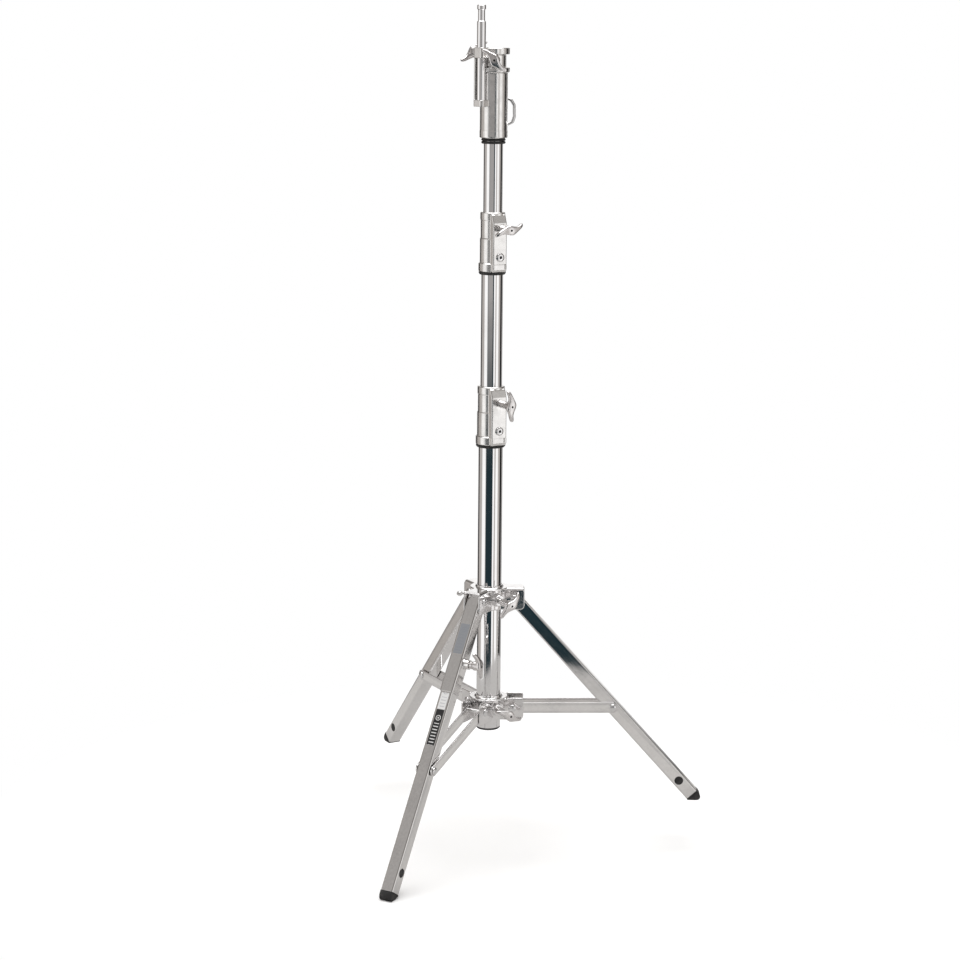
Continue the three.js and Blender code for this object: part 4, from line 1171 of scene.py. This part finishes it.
# %% The studio
def make_studio():
    world = bpy.data.worlds.new("studio")
    world.use_nodes = True
    tree = world.node_tree
    coords = add(tree, "ShaderNodeTexCoord")
    part = add(tree, "ShaderNodeSeparateXYZ", {0: coords.outputs["Generated"]}).outputs
    around = maths(tree, "ARCTAN2", part["X"], maths(tree, "MULTIPLY", part["Y"], -1.0))
    turn = maths(tree, "MULTIPLY_ADD", around, 1 / (2 * math.pi), third=0.5)
    return world, tree, part, turn, add(tree, "ShaderNodeValToRGB", {0: turn})


world, tree, direction, turn, ramp = make_studio()
TEAL, GREY = (0.018, 0.034, 0.042), (0.40, 0.385, 0.375)
WHITE, WARM, DARK = (1.15, 1.14, 1.13), (0.50, 0.47, 0.445), (0.008, 0.008, 0.008)
CEILING, RAISED = (1.9, 1.9, 1.9), (0.25, 0.232, 0.215)
BANDS = [  # angle round the stand in degrees, and the colour there
    (-180, WHITE), (-170, WHITE), (-166, GREY), (-149, GREY), (-145, DARK), (-128, DARK), (-120, WARM),
    (-88, WARM), (-78, WHITE), (-50, WHITE), (-40, TEAL), (20, TEAL), (24, WHITE), (35, WHITE), (39, WARM),
    (47, WARM), (52, WHITE), (72, WHITE), (79, WARM), (97, WARM), (103, DARK), (127, DARK), (131, GREY),
    (149, GREY), (153, DARK), (162, DARK), (165, WHITE), (180, WHITE),
]
stops = ramp.color_ramp.elements
while len(stops) < len(BANDS):
    stops.new(0.5)
for stop, (angle, colour) in zip(stops, BANDS):
    stop.position, stop.color = (angle + 180) / 360, (*colour, 1)
left_of_line = stretch_range(tree, turn, 0.524, 0.532, 1.0, 0.0)
in_front = maths(tree, "MULTIPLY", left_of_line, stretch_range(tree, direction["Y"], -0.74, -0.80))
level_light = maths(tree, "MULTIPLY", stretch_range(tree, direction["Z"], -0.17, -0.12), in_front)
softened = tinted(tree, level_light, ramp.outputs[0], GREY)
raised = maths(tree, "MULTIPLY", stretch_range(tree, direction["Z"], 0.28, 0.42), 0.8)
upper = tinted(tree, raised, softened, RAISED)
lit = tinted(tree, stretch_range(tree, direction["Z"], 0.76, 0.9), upper, CEILING)
seen = add(tree, "ShaderNodeLightPath").outputs["Is Camera Ray"]
wire(tree, tree.nodes["Background"], Color=tinted(tree, seen, lit, (1.0, 1.0, 1.0)))
bpy.context.scene.world = world
bpy.context.scene.view_settings.view_transform = "Standard"

FLOOR_RADIUS = 1250
FADE_START, FADE_END = 0.7, 1.1  # metres from the middle, for the camera only
paper = bpy.data.materials.new("floor_paper")
paper.use_nodes = True
tree = paper.node_tree
paper_shader = tree.nodes["Principled BSDF"]
paper_shader.inputs["Roughness"].default_value = 0.9
straight = add(tree, "ShaderNodeLightPath").outputs["Is Camera Ray"]
wire(tree, paper_shader, Base_Color=tinted(tree, straight, (0.50, 0.49, 0.48), (1.0, 1.0, 1.0)))
floor_coords = add(tree, "ShaderNodeTexCoord").outputs["Object"]
from_middle = add(tree, "ShaderNodeVectorMath", {0: floor_coords}, operation="LENGTH").outputs["Value"]
fade = maths(tree, "MULTIPLY", stretch_range(tree, from_middle, FADE_START, FADE_END), straight)
glow = add(tree, "ShaderNodeEmission", {"Color": (1, 1, 1, 1), "Strength": 1.0})
blend = add(tree, "ShaderNodeMixShader", {0: fade, 1: paper_shader.outputs[0], 2: glow.outputs[0]})
wire(tree, tree.nodes["Material Output"], Surface=blend.outputs[0])
floor_mesh = turned([(FLOOR_RADIUS, -12.0), (FLOOR_RADIUS, 0.0)], 128)
floor_mesh.transform(Matrix.Scale(0.001, 4))
floor_mesh.materials.append(paper)
floor = bpy.data.objects.new("floor", floor_mesh)
bpy.context.scene.collection.objects.link(floor)

lamp = bpy.data.lights.new("overhead", "AREA")
lamp.shape, lamp.size, lamp.size_y, lamp.energy = "RECTANGLE", 3.0, 3.0, 58
lamp_object = bpy.data.objects.new("overhead", lamp)
lamp_height = Vector((0, 0, 3.6))
downwards = (Vector((0, 0, 0)) - lamp_height).to_track_quat("-Z", "Y").to_matrix().to_4x4()
lamp_object.matrix_world = Matrix.Translation(lamp_height) @ downwards
bpy.context.scene.collection.objects.link(lamp_object)
print("studio: a ramp with", len(stops), "stops, a paper floor and one soft light overhead")

# %% [markdown]
# The camera stands four metres away a little above the head of the stand, looks down by ten
# degrees and is shifted slightly, as when a studio photographer keeps uprights upright.

# %% The camera
CAMERA_PLACE = (-0.103173, -4.3, 1.557865)
CAMERA_YAW, CAMERA_PITCH, CAMERA_ROLL = (math.radians(a) for a in (0.161823, 10.125656, 0.480521))
pitch_out = math.cos(CAMERA_PITCH)
forward = Vector((
    -math.sin(CAMERA_YAW) * pitch_out, math.cos(CAMERA_YAW) * pitch_out, -math.sin(CAMERA_PITCH)
))
level = Vector((math.cos(CAMERA_YAW), math.sin(CAMERA_YAW), 0))
upward = level.cross(forward)
right = level * math.cos(CAMERA_ROLL) + upward * math.sin(CAMERA_ROLL)
top_edge = upward * math.cos(CAMERA_ROLL) - level * math.sin(CAMERA_ROLL)
lens = bpy.data.cameras.new("camera")
lens.lens, lens.sensor_width, lens.shift_y = 88.2156, 36.0, -0.05
camera = bpy.data.objects.new("camera", lens)
facing = Matrix((right, top_edge, -forward)).transposed().to_4x4()
camera.matrix_world = Matrix.Translation(CAMERA_PLACE) @ facing
bpy.context.scene.collection.objects.link(camera)
bpy.context.scene.camera = camera
print("camera at", CAMERA_PLACE)
